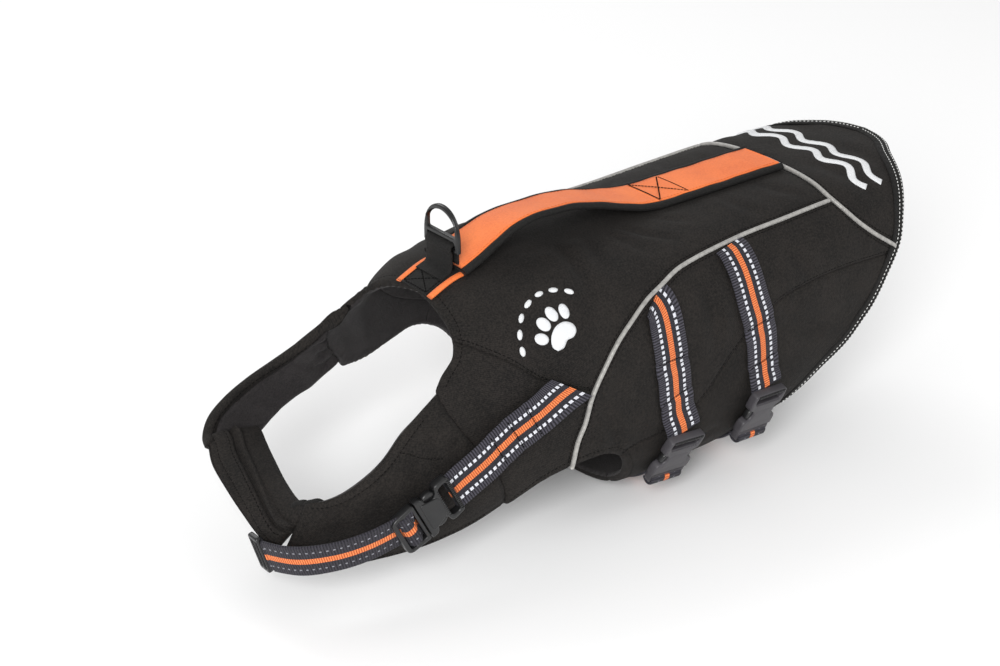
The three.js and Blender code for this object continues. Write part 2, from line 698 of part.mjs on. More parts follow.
// The loop is a ply of cloth folded over the ring's bar, its two feet sewn to the patch.
{
  const r = LOOP.inner,
    R = r + LOOP.wall,
    base = 14.9, // foot level, above the patch
    shape = new THREE.Shape();
  const c = RING.axis,
    neck = 0.62; // the plies close in under the bar
  const arc = (rad, a0, a1, n) =>
    Array.from({ length: n + 1 }, (_, i) => {
      const a = a0 + ((a1 - a0) * i) / n;
      return [rad * Math.cos(a), c + rad * Math.sin(a)];
    });
  const outerPts = [
    [-8, base],
    [-8, base + LOOP.wall],
    [-R * neck - 0.6, base + LOOP.wall],
    ...arc(R, Math.PI * 1.22, -Math.PI * 0.22, 14),
    [R * neck + 0.6, base + LOOP.wall],
    [8, base + LOOP.wall],
    [8, base],
  ];
  const innerPts = [
    [R * neck - LOOP.wall + 0.4, base],
    ...arc(r, -Math.PI * 0.26, Math.PI * 1.26, 14),
    [-R * neck + LOOP.wall - 0.4, base],
  ];
  [...outerPts, ...innerPts].forEach(([x, z], i) => (i ? shape.lineTo(x, z) : shape.moveTo(x, z)));
  const g = new THREE.ExtrudeGeometry(shape, { depth: 2 * LOOP.half, bevelEnabled: false, curveSegments: 1 });
  g.rotateX(Math.PI / 2);
  g.translate(RING.x, LOOP.half, -DATUM);
  add("ring_loop", g, cloth);
}
// The lead ring: a D with a crossbar, standing across the spine on its bar.
{
  const { half, height, band: b, bar, slot, crossbar } = RING;
  const outline = (s, low, high) => {
    // a D that narrows to a rounded top, inset by s from the outside
    const p = new THREE.Shape(),
      w = half - s,
      h = high - s;
    p.moveTo(-w, low);
    p.lineTo(w, low);
    p.lineTo(w, low + 7);
    p.bezierCurveTo(w, h * 0.72, w * 0.55, h, 0, h);
    p.bezierCurveTo(-w * 0.55, h, -w, h * 0.72, -w, low + 7);
    p.lineTo(-w, low);
    return p;
  };
  const d = outline(0, -bar / 2, height);
  const hole = outline(b, slot + crossbar, height);
  d.holes.push(new THREE.Path(hole.getPoints(6).reverse()));
  const s = new THREE.Path();
  s.moveTo(-half + b, bar / 2);
  s.lineTo(-half + b, slot);
  s.lineTo(half - b, slot);
  s.lineTo(half - b, bar / 2);
  s.lineTo(-half + b, bar / 2);
  d.holes.push(s);
  const g = new THREE.ExtrudeGeometry(d, { depth: RING.thick, bevelEnabled: false, curveSegments: 6 });
  g.translate(0, 0, -RING.thick / 2);
  g.rotateX(Math.PI / 2);
  g.rotateZ(Math.PI / 2);
  const ring = add("d_ring", g, plastic);
  ring.position.set(RING.x, 0, RING.axis - DATUM);
}

// ---------------------------------------------------------------- straps
const half = WEB_WIDTH / 2;
add("chest_strap", webbing(CHEST_STRAP, half, WEB, 12), web);
add("chest_strap_front", webbing(CHEST_STRAP_FRONT, half - 2, WEB, 9), web);
for (const [name, table] of [
  ["belly_strap_front", BELLY_FRONT],
  ["belly_strap_rear", BELLY_REAR],
]) {
  const pts = mirror(path(table, 16));
  add(name + "_left", strip(pts, half, STRAP_LIFT, STRAP_LIFT + WEB, 3), web);
  // The right strap runs from the right piping under the belly to the left buckle.
  const end = table[table.length - 1],
    whole = around(end.x);
  const far = [...table, { x: end.x + 2, u: whole * 0.75 }, { x: end.x + 3, u: whole * 0.9 }, { x: end.x + 3, u: whole }, { x: end.x + 3, u: whole * 1.1 }, { x: end.x + 3, u: 2 * whole - end.u - BUCKLE.socket - BUCKLE.plug - 3 }];
  add(name + "_right", strip(path(far, 16), half, STRAP_LIFT, STRAP_LIFT + WEB, 3), web);
}

// ---------------------------------------------------------------- buckles
// Local frame: x along the strap, y across it, z away from the cloth.
function buckleShape(length, width, slotAt, slotWidth) {
  const r = 4,
    s = new THREE.Shape(),
    a = length / 2,
    b = width / 2;
  s.moveTo(-a + r, -b);
  s.lineTo(a - r, -b);
  s.quadraticCurveTo(a, -b, a, -b + r);
  s.lineTo(a, b - r);
  s.quadraticCurveTo(a, b, a - r, b);
  s.lineTo(-a + r, b);
  s.quadraticCurveTo(-a, b, -a, b - r);
  s.lineTo(-a, -b + r);
  s.quadraticCurveTo(-a, -b, -a + r, -b);
  const h = new THREE.Path();
  h.moveTo(slotAt - 2, -slotWidth / 2);
  h.lineTo(slotAt - 2, slotWidth / 2);
  h.lineTo(slotAt + 2, slotWidth / 2);
  h.lineTo(slotAt + 2, -slotWidth / 2);
  h.lineTo(slotAt - 2, -slotWidth / 2);
  s.holes.push(h);
  return s;
}
function buckle(name, frame) {
  const holder = new THREE.Group();
  holder.applyMatrix4(frame);
  group.add(holder);
  const whole = BUCKLE.socket + BUCKLE.gap + BUCKLE.plug;
  for (const [part, length, at, slotAt] of [
    ["socket", BUCKLE.socket, -whole / 2 + BUCKLE.socket / 2, -BUCKLE.socket / 2 + 5],
    ["plug", BUCKLE.plug, whole / 2 - BUCKLE.plug / 2, BUCKLE.plug / 2 - 5],
  ]) {
    const g = new THREE.ExtrudeGeometry(buckleShape(length, BUCKLE.width, slotAt, WEB_WIDTH - 1), {
      depth: BUCKLE.thick,
      bevelEnabled: false,
      curveSegments: 3,
    });
    g.translate(at, 0, -BUCKLE.thick / 2);
    add(name + "_" + part, g, plastic, holder);
  }
}
function frameOf(p, along, across) {
  const x = along.clone().normalize(),
    z = x.clone().cross(across).normalize(),
    y = z.clone().cross(x).normalize();
  return new THREE.Matrix4().makeBasis(x, y, z).setPosition(p.x, p.y, p.z - DATUM);
}
buckle(
  "chest_buckle",
  frameOf(
    new THREE.Vector3(...CHEST_BUCKLE.at),
    new THREE.Vector3(...CHEST_BUCKLE.along),
    new THREE.Vector3(...CHEST_BUCKLE.across),
  ),
);
for (const [name, table] of [
  ["belly_buckle_front", BELLY_FRONT],
  ["belly_buckle_rear", BELLY_REAR],
]) {
  const end = table[table.length - 1],
    mid = end.u + 1.2 + (BUCKLE.socket + BUCKLE.gap + BUCKLE.plug) / 2,
    x = end.x - 5,
    p = place(x, -mid, LIFT + 3 + BUCKLE.thick / 2),
    a = hull(x, -mid + 20),
    b = hull(x - 5, -mid - 20);
  buckle(name, frameOf(p, b.clone().sub(a), hull(x + 10, -mid).sub(hull(x - 10, -mid)).negate()));
}
// Slider that ends the chest strap at the front.
{
  const g = new THREE.ExtrudeGeometry(buckleShape(12, 32, 0, 26), { depth: 4, bevelEnabled: false, curveSegments: 3 });
  g.translate(0, 0, -2);
  const m = add("front_slider", g, plastic);
  m.applyMatrix4(frameOf(new THREE.Vector3(-294, -28.5, -143), new THREE.Vector3(0, 1, 0), new THREE.Vector3(0.3, 0, -0.95)));
}

export default group;
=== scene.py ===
"""Looks of the dog life jacket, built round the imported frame.

Blender objects are in metres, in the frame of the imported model. The tables are in
millimetres, and give the same hull as the solids: a place on it is (x, u), where x is
the station, +X towards the tail, and u the distance round from the spine line, negative
on the dog's left. Heights in the tables are DATUM above those of the frame.
"""

import math

import bmesh
import bpy
import numpy as np
from mathutils import Matrix, Vector
from mathutils.geometry import delaunay_2d_cdt
from mathutils.kdtree import KDTree


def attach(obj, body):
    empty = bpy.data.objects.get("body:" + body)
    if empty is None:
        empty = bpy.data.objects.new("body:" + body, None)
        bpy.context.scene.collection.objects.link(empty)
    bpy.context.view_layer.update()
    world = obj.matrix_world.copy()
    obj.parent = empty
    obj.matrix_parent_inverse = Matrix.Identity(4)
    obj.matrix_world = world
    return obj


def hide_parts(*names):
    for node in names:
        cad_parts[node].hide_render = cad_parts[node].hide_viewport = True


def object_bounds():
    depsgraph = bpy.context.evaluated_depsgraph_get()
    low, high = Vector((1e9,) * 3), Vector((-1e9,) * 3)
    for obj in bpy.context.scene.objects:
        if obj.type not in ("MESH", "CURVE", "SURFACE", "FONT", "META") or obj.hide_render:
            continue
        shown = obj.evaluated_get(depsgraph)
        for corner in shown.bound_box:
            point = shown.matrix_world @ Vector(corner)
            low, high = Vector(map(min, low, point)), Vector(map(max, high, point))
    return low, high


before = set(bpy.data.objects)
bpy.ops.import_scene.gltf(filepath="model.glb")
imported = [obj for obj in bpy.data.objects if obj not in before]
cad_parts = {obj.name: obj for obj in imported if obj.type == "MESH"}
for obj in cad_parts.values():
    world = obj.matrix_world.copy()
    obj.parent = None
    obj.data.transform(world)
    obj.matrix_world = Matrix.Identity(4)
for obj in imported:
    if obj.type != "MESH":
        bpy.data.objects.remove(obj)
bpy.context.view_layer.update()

MM = 0.001
DATUM = 5.0
PAD = 7.0
BAND_PAD = 8.0
TAPE_HALF = 19.0
GRIP_HALF = 24.0
COLS = 40

# x, top, half, wide, bottom, nTop, nBot
BODY = np.array(
    [
        (-230, -33, 76, -90, -165, 2.2, 2.5),
        (-150, -3, 87.5, -92, -174, 2.2, 2.5),
        (-115, 9.5, 92.5, -92, -178, 2.65, 2.6),
        (-60, 13, 99, -90, -182, 3.0, 2.7),
        (0, 13, 102, -88, -184, 3.1, 2.7),
        (70, 13, 103, -88, -181, 3.1, 2.7),
        (140, 13.5, 102, -88, -172, 3.4, 2.6),
        (200, 14, 100, -88, -162, 3.7, 2.5),
        (320, 14.5, 95, -90, -150, 3.6, 2.4),
    ],
    float,
)
FRONT = [(0, -141), (0.127, -145), (0.163, -146), (0.2, -148.5), (0.233, -153), (0.268, -167), (0.3, -174), (0.65, -128), (0.8, -118), (1, -112)]
HEM = [(0, 309), (0.05, 306), (0.096, 300), (0.15, 288), (0.19, 281), (0.245, 272), (0.289, 264.5), (0.332, 258), (0.394, 251.3), (0.46, 238), (0.53, 222), (0.562, 210), (0.602, 194.5), (0.646, 169), (0.7, 152), (0.78, 139), (0.88, 132), (1, 128)]
YOKE = [(200, 0), (199, 17), (198, 35), (197, 53), (197, 73), (206, 92), (221, 107), (246, 124), (268, 139)]
PIPING = [(-82, 224), (-76, 202), (-73, 182), (-67, 169), (-61, 150), (-49, 132), (-36, 118), (-22, 108), (-4, 97.5), (13, 91), (32, 84), (51, 80.5), (76, 77.5), (103, 75.5), (142, 75), (198.4, 74)]
SHOULDER = [(-168, 42), (-150, 55), (-127, 88), (-101, 120), (-80, 136), (-58.5, 147.5)]
SIDE = [(-38, 222), (-24, 209), (8, 205), (38, 192), (78, 154.5), (117, 134), (148, 129), (186, 128), (224, 129), (258, 130)]
BELLY_SHARE = 0.82
LEG_LEFT = [(-127, -148), (-101, -131), (-76, -124), (-58, -123), (-46, -123), (-33, -129), (-24, -140), (-18, -153), (-12, -168), (-8, -190)]
LEG_RIGHT = [(-172, -85), (-150, -91), (-128, -92), (-104, -87), (-78, -83), (-54, -92), (-38, -108), (-28, -128), (-20, -150), (-13, -168), (-8, -190)]
CHEST = [(-208, -74, -61.5, -158, -78, -146, 6), (-225, -75, -76.5, -186, -74, -152, 4.5), (-239, -73, -86.5, -213, -67, -156.5, 3), (-252, -68, -94.5, -238, -59, -157, 2.5), (-262, -61, -99.5, -262, -49, -152, 2.5), (-270, -50, -103.5, -284, -38, -146, 2)]
FLAP = [(-268.5, -40.5, -106.5, -289, -32.5, -138, 1), (-265.5, -28, -107.5, -293, -26, -132.5, 1.5), (-258, -4, -108.5, -295, -9, -121, 1.5), (-249, 22, -108, -294, 11, -112.5, 1.5), (-241.5, 45, -106, -290, 36, -104, 1.5), (-239, 54, -103.5, -285, 49, -98, 1)]
BAND_RIGHT = [(-182, 78.5, -90, -198, 74, -58, 2), (-195, 76, -95.5, -213, 77, -65, 2.5), (-213, 71, -102, -234, 77, -71.5, 2.5), (-228, 68, -109, -256, 73, -78.5, 2), (-238, 64, -113.5, -273, 68, -87, 1.5), (-244, 53, -119.5, -282, 61.5, -95.5, 1)]
FLAP_INNER = [(-247, 43, -119.5, -284, 46, -113.5, 0.5), (-252, 24, -121.5, -286, 26, -120, 0.5), (-257, 0, -122.5, -286, 0, -128, 0.5)]
HANDLE = [(-106, 13.4, 0), (-97, 16.4, 0.04), (-84, 22.4, 0.1), (-68, 28.2, 0.17), (-48, 31.2, 0.2), (-25, 31.2, 0.18), (4, 27.6, 0.1), (32, 20.6, 0.04), (54, 15.6, 0), (70, 13.8, 0), (95, 13.8, 0), (130, 14.1, 0), (165, 14.4, 0), (196, 14.6, 0)]
CHEST_STRAP = [(-81, -99.8, -56.6, -0.02, -0.98, 0.2), (-90, -99.4, -60, -0.04, -0.98, 0.2), (-107, -98.4, -67.5, -0.08, -0.98, 0.18), (-124, -97.4, -75.5, -0.1, -0.98, 0.16), (-140, -96.4, -84, -0.1, -0.98, 0.14), (-157, -95.6, -93, -0.12, -0.98, 0.12), (-174, -94.8, -102.5, -0.14, -0.98, 0.1), (-183, -94.2, -107.3, -0.1, -0.985, 0.05)]
CHEST_FRONT = [(-213, -94.5, -118.4, -0.06, -0.96, -0.2), (-224.5, -92, -121.5, -0.1, -0.9, -0.22), (-245, -88, -126.5, -0.3, -0.85, -0.25), (-262, -81, -131, -0.5, -0.76, -0.28), (-275, -71, -134.5, -0.72, -0.55, -0.3), (-285, -58, -138, -0.86, -0.3, -0.3), (-290.5, -45, -140.5, -0.93, -0.14, -0.3), (-292.5, -37, -142, -0.95, -0.05, -0.3)]
BELLY_FRONT = [(5.5, 109), (7, 124), (10, 145), (12, 162), (14, 178), (19.5, 198), (22, 207)]
BELLY_REAR = [(86.5, 82.3), (87.5, 100), (90.5, 123), (95.5, 144.5), (99, 165), (101.5, 188), (103, 197)]
RING_X, RING_Z = -117.0, 28.0


# ------------------------------------------------------------------ curves and hull
def curve(xs, ys):
    """Monotone cubic through the points, straight on outside them."""
    xs, ys = np.asarray(xs, float), np.asarray(ys, float)
    h = np.diff(xs)
    d = np.diff(ys) / h
    m = np.zeros(len(xs))
    m[0], m[-1] = d[0], d[-1]
    for i in range(1, len(xs) - 1):
        if d[i - 1] * d[i] > 0:
            a, b = 2 * h[i] + h[i - 1], h[i] + 2 * h[i - 1]
            m[i] = (a + b) / (a / d[i - 1] + b / d[i])

    def f(x):
        x = np.asarray(x, float)
        i = np.clip(np.searchsorted(xs, x, side="right") - 1, 0, len(xs) - 2)
        t = (x - xs[i]) / h[i]
        c = np.clip(t, 0, 1)
        v = (2 * c**3 - 3 * c**2 + 1) * ys[i] + (c**3 - 2 * c**2 + c) * h[i] * m[i]
        v = v + (-2 * c**3 + 3 * c**2) * ys[i + 1] + (c**3 - c**2) * h[i] * m[i + 1]
        return v + np.where(t < 0, t * h[i] * m[i], 0) + np.where(t > 1, (t - 1) * h[i] * m[i + 1], 0)

    return f


def columns(table, a, b):
    return curve([r[a] for r in table], [r[b] for r in table])


front_at, hem_at = columns(FRONT, 0, 1), columns(HEM, 0, 1)
XS = np.arange(-262, 335, 2.0)
US = np.arange(-430, 431, 1.0)
top, half_w, wide, bottom, n_top, n_bot = [curve(BODY[:, 0], BODY[:, k])(XS)[:, None] for k in range(1, 7)]
ANGLE = (math.pi / 2 - math.pi * np.arange(121) / 120)[None, :]
power = 2 / np.where(ANGLE >= 0, n_top, n_bot)
SY = half_w * np.abs(np.cos(ANGLE)) ** power
SS = np.abs(np.sin(ANGLE)) ** power
SZ = np.where(ANGLE >= 0, wide + (top - wide) * SS, wide - (wide - bottom) * SS)
SY[:, 0] = SY[:, -1] = 0
SL = np.concatenate([np.zeros((len(XS), 1)), np.cumsum(np.hypot(np.diff(SY), np.diff(SZ)), 1)], 1)
WHOLE = SL[:, -1]
GRID = np.zeros((len(XS), len(US), 3))
for i, x in enumerate(XS):
    v, side = np.abs(US), np.sign(US)
    over = v > WHOLE[i]
    v, side = np.where(over, 2 * WHOLE[i] - v, v), np.where(over, -side, side)
    GRID[i, :, 0] = x
    GRID[i, :, 1] = side * np.interp(v, SL[i], SY[i])
    GRID[i, :, 2] = np.interp(v, SL[i], SZ[i])
ACROSS = np.zeros_like(GRID)
ACROSS[:, 3:-3] = GRID[:, 6:] - GRID[:, :-6]
ACROSS[:, :3], ACROSS[:, -3:] = ACROSS[:, 3:4], ACROSS[:, -4:-3]
NORMAL = np.cross(np.gradient(GRID, axis=0), ACROSS)
NORMAL /= np.linalg.norm(NORMAL, axis=2, keepdims=True)


def whole(x):
    return np.interp(x, XS, WHOLE)


def lookup(grid, x, u):
    x, u = np.broadcast_arrays(np.asarray(x, float), np.asarray(u, float))
    a = np.clip((x - XS[0]) / 2.0, 0, len(XS) - 1.001)
    b = np.clip(u - US[0], 0, len(US) - 1.001)
    i, j = a.astype(int), b.astype(int)
    s, t = (a - i)[..., None], (b - j)[..., None]
    return (grid[i, j] * (1 - t) + grid[i, j + 1] * t) * (1 - s) + (grid[i + 1, j] * (1 - t) + grid[i + 1, j + 1] * t) * s


def normal(x, u):
    n = lookup(NORMAL, x, u)
    return n / np.linalg.norm(n, axis=-1, keepdims=True)


def place(x, u, off):
    """Points in the frame, in millimetres, that stand off the hull by off."""
    p = lookup(GRID, x, u) + normal(x, u) * np.asarray(off, float)[..., None]
    p[..., 2] -= DATUM
    return p


def smooth(points, n):
    """Centripetal Catmull-Rom through the points, n + 1 of them."""
    P = np.asarray(points, float)
    last = len(P) - 1
    out = []
    for k in range(n + 1):
        p = last * k / n
        i = min(int(p), last - 1)
        w = p - i
        p0 = P[i - 1] if i else 2 * P[0] - P[1]
        p1, p2 = P[i], P[i + 1]
        p3 = P[i + 2] if i + 2 <= last else 2 * P[-1] - P[-2]
        d0, d1, d2 = (max(np.linalg.norm(b - a) ** 0.5, 1e-4) for a, b in ((p0, p1), (p1, p2), (p2, p3)))
        t1 = ((p1 - p0) / d0 - (p2 - p0) / (d0 + d1) + (p2 - p1) / d1) * d1
        t2 = ((p2 - p1) / d1 - (p3 - p1) / (d1 + d2) + (p3 - p2) / d2) * d1
        out.append(p1 + t1 * w + (-3 * p1 + 3 * p2 - 2 * t1 - t2) * w * w + (2 * p1 - 2 * p2 + t1 + t2) * w**3)
    return np.array(out)


def even(points, step, closed=False):
    """The same line with points a step apart."""
    P = np.asarray(points, float)
    if closed:
        P = np.vstack([P, P[:1]])
    L = np.concatenate([[0], np.cumsum(np.linalg.norm(np.diff(P, axis=0), axis=1))])
    n = max(2, int(round(L[-1] / step)))
    s = np.linspace(0, L[-1], n + 1)
    return np.stack([np.interp(s, L, P[:, k]) for k in range(P.shape[1])], 1)


def path(table, step):
    return even(smooth(table, 40 * (len(table) - 1)), step)


def tangents(P):
    t = np.gradient(P, axis=0)
    return t / np.linalg.norm(t, axis=1, keepdims=True)


def flip(P):
    return np.asarray(P) * np.array([1, -1])


# ------------------------------------------------------------------ materials
def material(name, color, rough, **inputs):
    m = bpy.data.materials.new(name)
    m.use_nodes = True
    b = m.node_tree.nodes["Principled BSDF"]
    b.inputs["Base Color"].default_value = (*color, 1)
    b.inputs["Roughness"].default_value = rough
    for k, v in inputs.items():
        b.inputs[k.replace("_", " ")].default_value = v
    return m, m.node_tree, b


class Nodes:
    """Short hands for building a node tree."""

    def __init__(self, tree):
        self.t = tree

    def new(self, kind, **values):
        n = self.t.nodes.new(kind)
        for k, v in values.items():
            setattr(n, k, v)
        return n

    def link(self, a, b):
        self.t.links.new(a, b)

    def math(self, op, a, b=None, clamp=False):
        n = self.new("ShaderNodeMath", operation=op, use_clamp=clamp)
        for i, v in enumerate((a, b)):
            if v is None:
                continue
            if isinstance(v, (int, float)):
                n.inputs[i].default_value = v
            else:
                self.link(v, n.inputs[i])
        return n.outputs[0]

    def mix(self, f, a, b):
        n = self.new("ShaderNodeMix", data_type="RGBA")
        for k, v in (("Factor", f), ("A", a), ("B", b)):
            s = next(i for i in n.inputs if i.name == k and i.type == ("VALUE" if k == "Factor" else "RGBA"))
            if isinstance(v, tuple):
                s.default_value = (*v, 1)
            elif isinstance(v, (int, float)):
                s.default_value = v
            else:
                self.link(v, s)
        return next(o for o in n.outputs if o.type == "RGBA")

    def noise(self, vector, scale, detail=2.0, rough=0.5):
        n = self.new("ShaderNodeTexNoise")
        n.inputs["Scale"].default_value = scale
        n.inputs["Detail"].default_value = detail
        n.inputs["Roughness"].default_value = rough
        self.link(vector, n.inputs["Vector"])
        return n.outputs["Fac"]

    def ramp(self, value, low, high):
        n = self.new("ShaderNodeMapRange")
        n.inputs["From Min"].default_value = low
        n.inputs["From Max"].default_value = high
        self.link(value, n.inputs["Value"])
        return n.outputs["Result"]

    def bump(self, height, strength, distance, into, before=None):
        n = self.new("ShaderNodeBump")
        n.inputs["Strength"].default_value = strength
        n.inputs["Distance"].default_value = distance
        self.link(height, n.inputs["Height"])
        if before is not None:
            self.link(before, n.inputs["Normal"])
        if into is not None:
            self.link(n.outputs[0], into.inputs["Normal"])
        return n.outputs[0]


def uv_axes(k):
    tc = k.new("ShaderNodeTexCoord")
    sep = k.new("ShaderNodeSeparateXYZ")
    k.link(tc.outputs["UV"], sep.inputs[0])
    return tc, sep.outputs[0], sep.outputs[1]


def wave_of(k, value, period):
    return k.math("SINE", k.math("MULTIPLY", value, 2 * math.pi / period))


def cloth_material(name, dark, light, rough, weave, sheen):
    m, t, b = material(name, dark, rough, Sheen_Weight=sheen, Sheen_Roughness=0.45, Specular_IOR_Level=0.22)
    b.inputs["Sheen Tint"].default_value = (0.9, 0.88, 0.86, 1)
    k = Nodes(t)
    tc, u, v = uv_axes(k)
    obj = tc.outputs["Object"]
    patchy = k.noise(obj, 38, 3)
    thread = k.noise(obj, 760, 1)
    shade = k.math("ADD", k.math("MULTIPLY", patchy, 0.35), k.math("MULTIPLY", thread, 0.65))
    weft = k.math("MULTIPLY", wave_of(k, u, weave), wave_of(k, v, weave))
    k.link(k.mix(k.ramp(k.math("ADD", shade, k.math("MULTIPLY", weft, 0.1)), 0.34, 0.66), dark, light), b.inputs["Base Color"])
    r = k.new("ShaderNodeMapRange")
    r.inputs["To Min"].default_value, r.inputs["To Max"].default_value = rough - 0.08, rough + 0.1
    k.link(patchy, r.inputs["Value"])
    k.link(r.outputs["Result"], b.inputs["Roughness"])
    first = k.bump(weft, 0.55, 0.00022, None)
    second = k.bump(thread, 0.8, 0.00035, None, first)
    k.bump(k.noise(obj, 120, 2), 0.5, 0.0011, b, second)
    return m


CLOTH = cloth_material("cloth_black", (0.0026, 0.0021, 0.0018), (0.0185, 0.0154, 0.0134), 0.8, 0.0015, 0.015)
LINING = cloth_material("lining_black", (0.012, 0.0104, 0.0108), (0.03, 0.026, 0.0266), 0.5, 0.0008, 0.08)
BINDING = cloth_material("binding_black", (0.0035, 0.0033, 0.0031), (0.0105, 0.0098, 0.0092), 0.72, 0.001, 0.02)


def tape_material():
    m, t, b = material("tape_orange", (0.86, 0.215, 0.06), 0.66, Sheen_Weight=0.05)
    k = Nodes(t)
    tc, u, v = uv_axes(k)
    obj = tc.outputs["Object"]
    fine = k.noise(obj, 700, 1)
    broad = k.noise(obj, 30, 3)
    f = k.math("ADD", k.math("MULTIPLY", fine, 0.45), k.math("MULTIPLY", broad, 0.55))
    k.link(k.mix(k.ramp(f, 0.3, 0.7), (0.7, 0.13, 0.022), (0.88, 0.208, 0.042)), b.inputs["Base Color"])
    ribs = k.bump(k.math("MULTIPLY", wave_of(k, u, 0.0011), wave_of(k, v, 0.0016)), 0.5, 0.0002, None)
    k.bump(k.noise(obj, 90, 2), 0.35, 0.0008, b, ribs)
    return m


def piping_material():
    m, t, b = material("piping_reflective", (0.36, 0.355, 0.335), 0.36, Specular_IOR_Level=0.6, Sheen_Weight=0.2)
    k = Nodes(t)
    tc, u, v = uv_axes(k)
    obj = tc.outputs["Object"]
    k.link(k.mix(k.ramp(k.noise(obj, 300, 2), 0.3, 0.7), (0.22, 0.212, 0.2), (0.34, 0.33, 0.31)), b.inputs["Base Color"])
    k.bump(wave_of(k, v, 0.0032), 0.35, 0.0002, b, k.bump(k.noise(obj, 1500, 1), 0.3, 0.0001, None))
    return m


def webbing_material(name, face=True):
    """Slate webbing, ribbed across, with an orange middle line and light dashes beside it."""
    m, t, b = material(name, (0.05, 0.046, 0.06), 0.8, Sheen_Weight=0.05, Specular_IOR_Level=0.25)
    k = Nodes(t)
    tc, u, v = uv_axes(k)
    obj = tc.outputs["Object"]
    a = k.math("ABSOLUTE", u)
    ribs = wave_of(k, v, 0.002)
    thread = k.noise(obj, 1300, 1)
    base = k.mix(k.ramp(k.math("ADD", k.math("MULTIPLY", ribs, 0.5 if face else 0.3), thread), 0.1, 0.95), (0.006, 0.0057, 0.0085), (0.064, 0.06, 0.078) if face else (0.042, 0.039, 0.05))
    inner = k.mix(k.ramp(thread, 0.3, 0.7), (0.009, 0.0086, 0.0115), (0.03, 0.028, 0.038))
    middle = k.math("LESS_THAN", a, 0.0096)
    color = k.mix(middle, base, inner) if face else base
    beat = k.math("FRACT", k.math("ADD", k.math("DIVIDE", v, 0.0043 if face else 0.0047), 50.0))
    on = k.math("LESS_THAN", beat, 0.62 if face else 0.34)
    near = k.math("LESS_THAN", k.math("ABSOLUTE", k.math("SUBTRACT", a, 0.0079)), 0.00125 if face else 0.0005)
    dash = k.math("MULTIPLY", on, near)
    color = k.mix(dash, color, (0.66, 0.67, 0.72) if face else (0.26, 0.26, 0.29))
    orange = k.mix(k.ramp(k.math("ADD", k.math("MULTIPLY", wave_of(k, v, 0.0017), 0.4), thread), 0.15, 0.95), (0.4, 0.07, 0.016), (0.95, 0.28, 0.09))
    line = k.math("LESS_THAN", a, 0.0025 if face else 0.0024)
    color = k.mix(line, color, orange)
    k.link(color, b.inputs["Base Color"])
    first = k.bump(ribs, 0.8 if face else 0.5, 0.00028, None)
    second = k.bump(wave_of(k, u, 0.00115), 0.5, 0.0002, None, first)
    k.bump(k.math("ADD", k.math("MULTIPLY", dash, 0.7), thread), 0.5, 0.00035, b, second)
    return m


def plastic_material(name, color, rough):
    m, t, b = material(name, color, rough, Specular_IOR_Level=0.5)
    k = Nodes(t)
    tc = k.new("ShaderNodeTexCoord")
    obj = tc.outputs["Object"]
    grain = k.noise(obj, 1600, 2)
    broad = k.noise(obj, 70, 2)
    lo, hi = tuple(c * 0.75 for c in color), tuple(c * 1.3 for c in color)
    k.link(k.mix(k.ramp(k.math("ADD", k.math("MULTIPLY", grain, 0.4), k.math("MULTIPLY", broad, 0.6)), 0.3, 0.7), lo, hi), b.inputs["Base Color"])
    r = k.new("ShaderNodeMapRange")
    r.inputs["To Min"].default_value, r.inputs["To Max"].default_value = rough - 0.07, rough + 0.08
    k.link(broad, r.inputs["Value"])
    k.link(r.outputs["Result"], b.inputs["Roughness"])
    k.bump(grain, 0.35, 0.00012, b)
    return m


def thread_material(name, color, rough=0.55):
    m, t, b = material(name, color, rough, Specular_IOR_Level=0.1)
    k = Nodes(t)
    tc = k.new("ShaderNodeTexCoord")
    n = k.noise(tc.outputs["Object"], 1200, 1)
    k.link(k.mix(k.ramp(n, 0.3, 0.7), tuple(c * 0.72 for c in color), color), b.inputs["Base Color"])
    k.bump(n, 0.4, 0.0002, b)
    return m


def satin_material():
    """White embroidery: close parallel threads."""
    m, t, b = material("embroidery_white", (0.78, 0.79, 0.81), 0.5, Sheen_Weight=0.2)
    k = Nodes(t)
    tc, u, v = uv_axes(k)
    obj = tc.outputs["Object"]
    rows = k.math("ADD", wave_of(k, k.math("ADD", v, k.math("MULTIPLY", k.noise(obj, 400, 1), 0.0006)), 0.00085), 1.0)
    k.link(k.mix(k.ramp(rows, 0.0, 1.2), (0.5, 0.51, 0.53), (0.86, 0.87, 0.88)), b.inputs["Base Color"])
    k.bump(rows, 0.7, 0.0002, b, k.bump(k.noise(obj, 500, 1), 0.4, 0.0003, None))
    return m


TAPE = tape_material()
PIPE = piping_material()
WEB_FACE = webbing_material("webbing_face")
WEB_BACK = webbing_material("webbing_back", False)
BUCKLE_GREY = plastic_material("buckle_grey", (0.04, 0.037, 0.042), 0.46)
BUCKLE_BLACK = plastic_material("buckle_black", (0.0085, 0.0085, 0.009), 0.3)
RING_BLACK = plastic_material("ring_black", (0.0035, 0.0035, 0.0037), 0.27)
THREAD_BLACK = thread_material("thread_black", (0.002, 0.002, 0.0019), 0.85)
THREAD_WHITE = thread_material("thread_white", (0.8, 0.8, 0.78))
SATIN = satin_material()


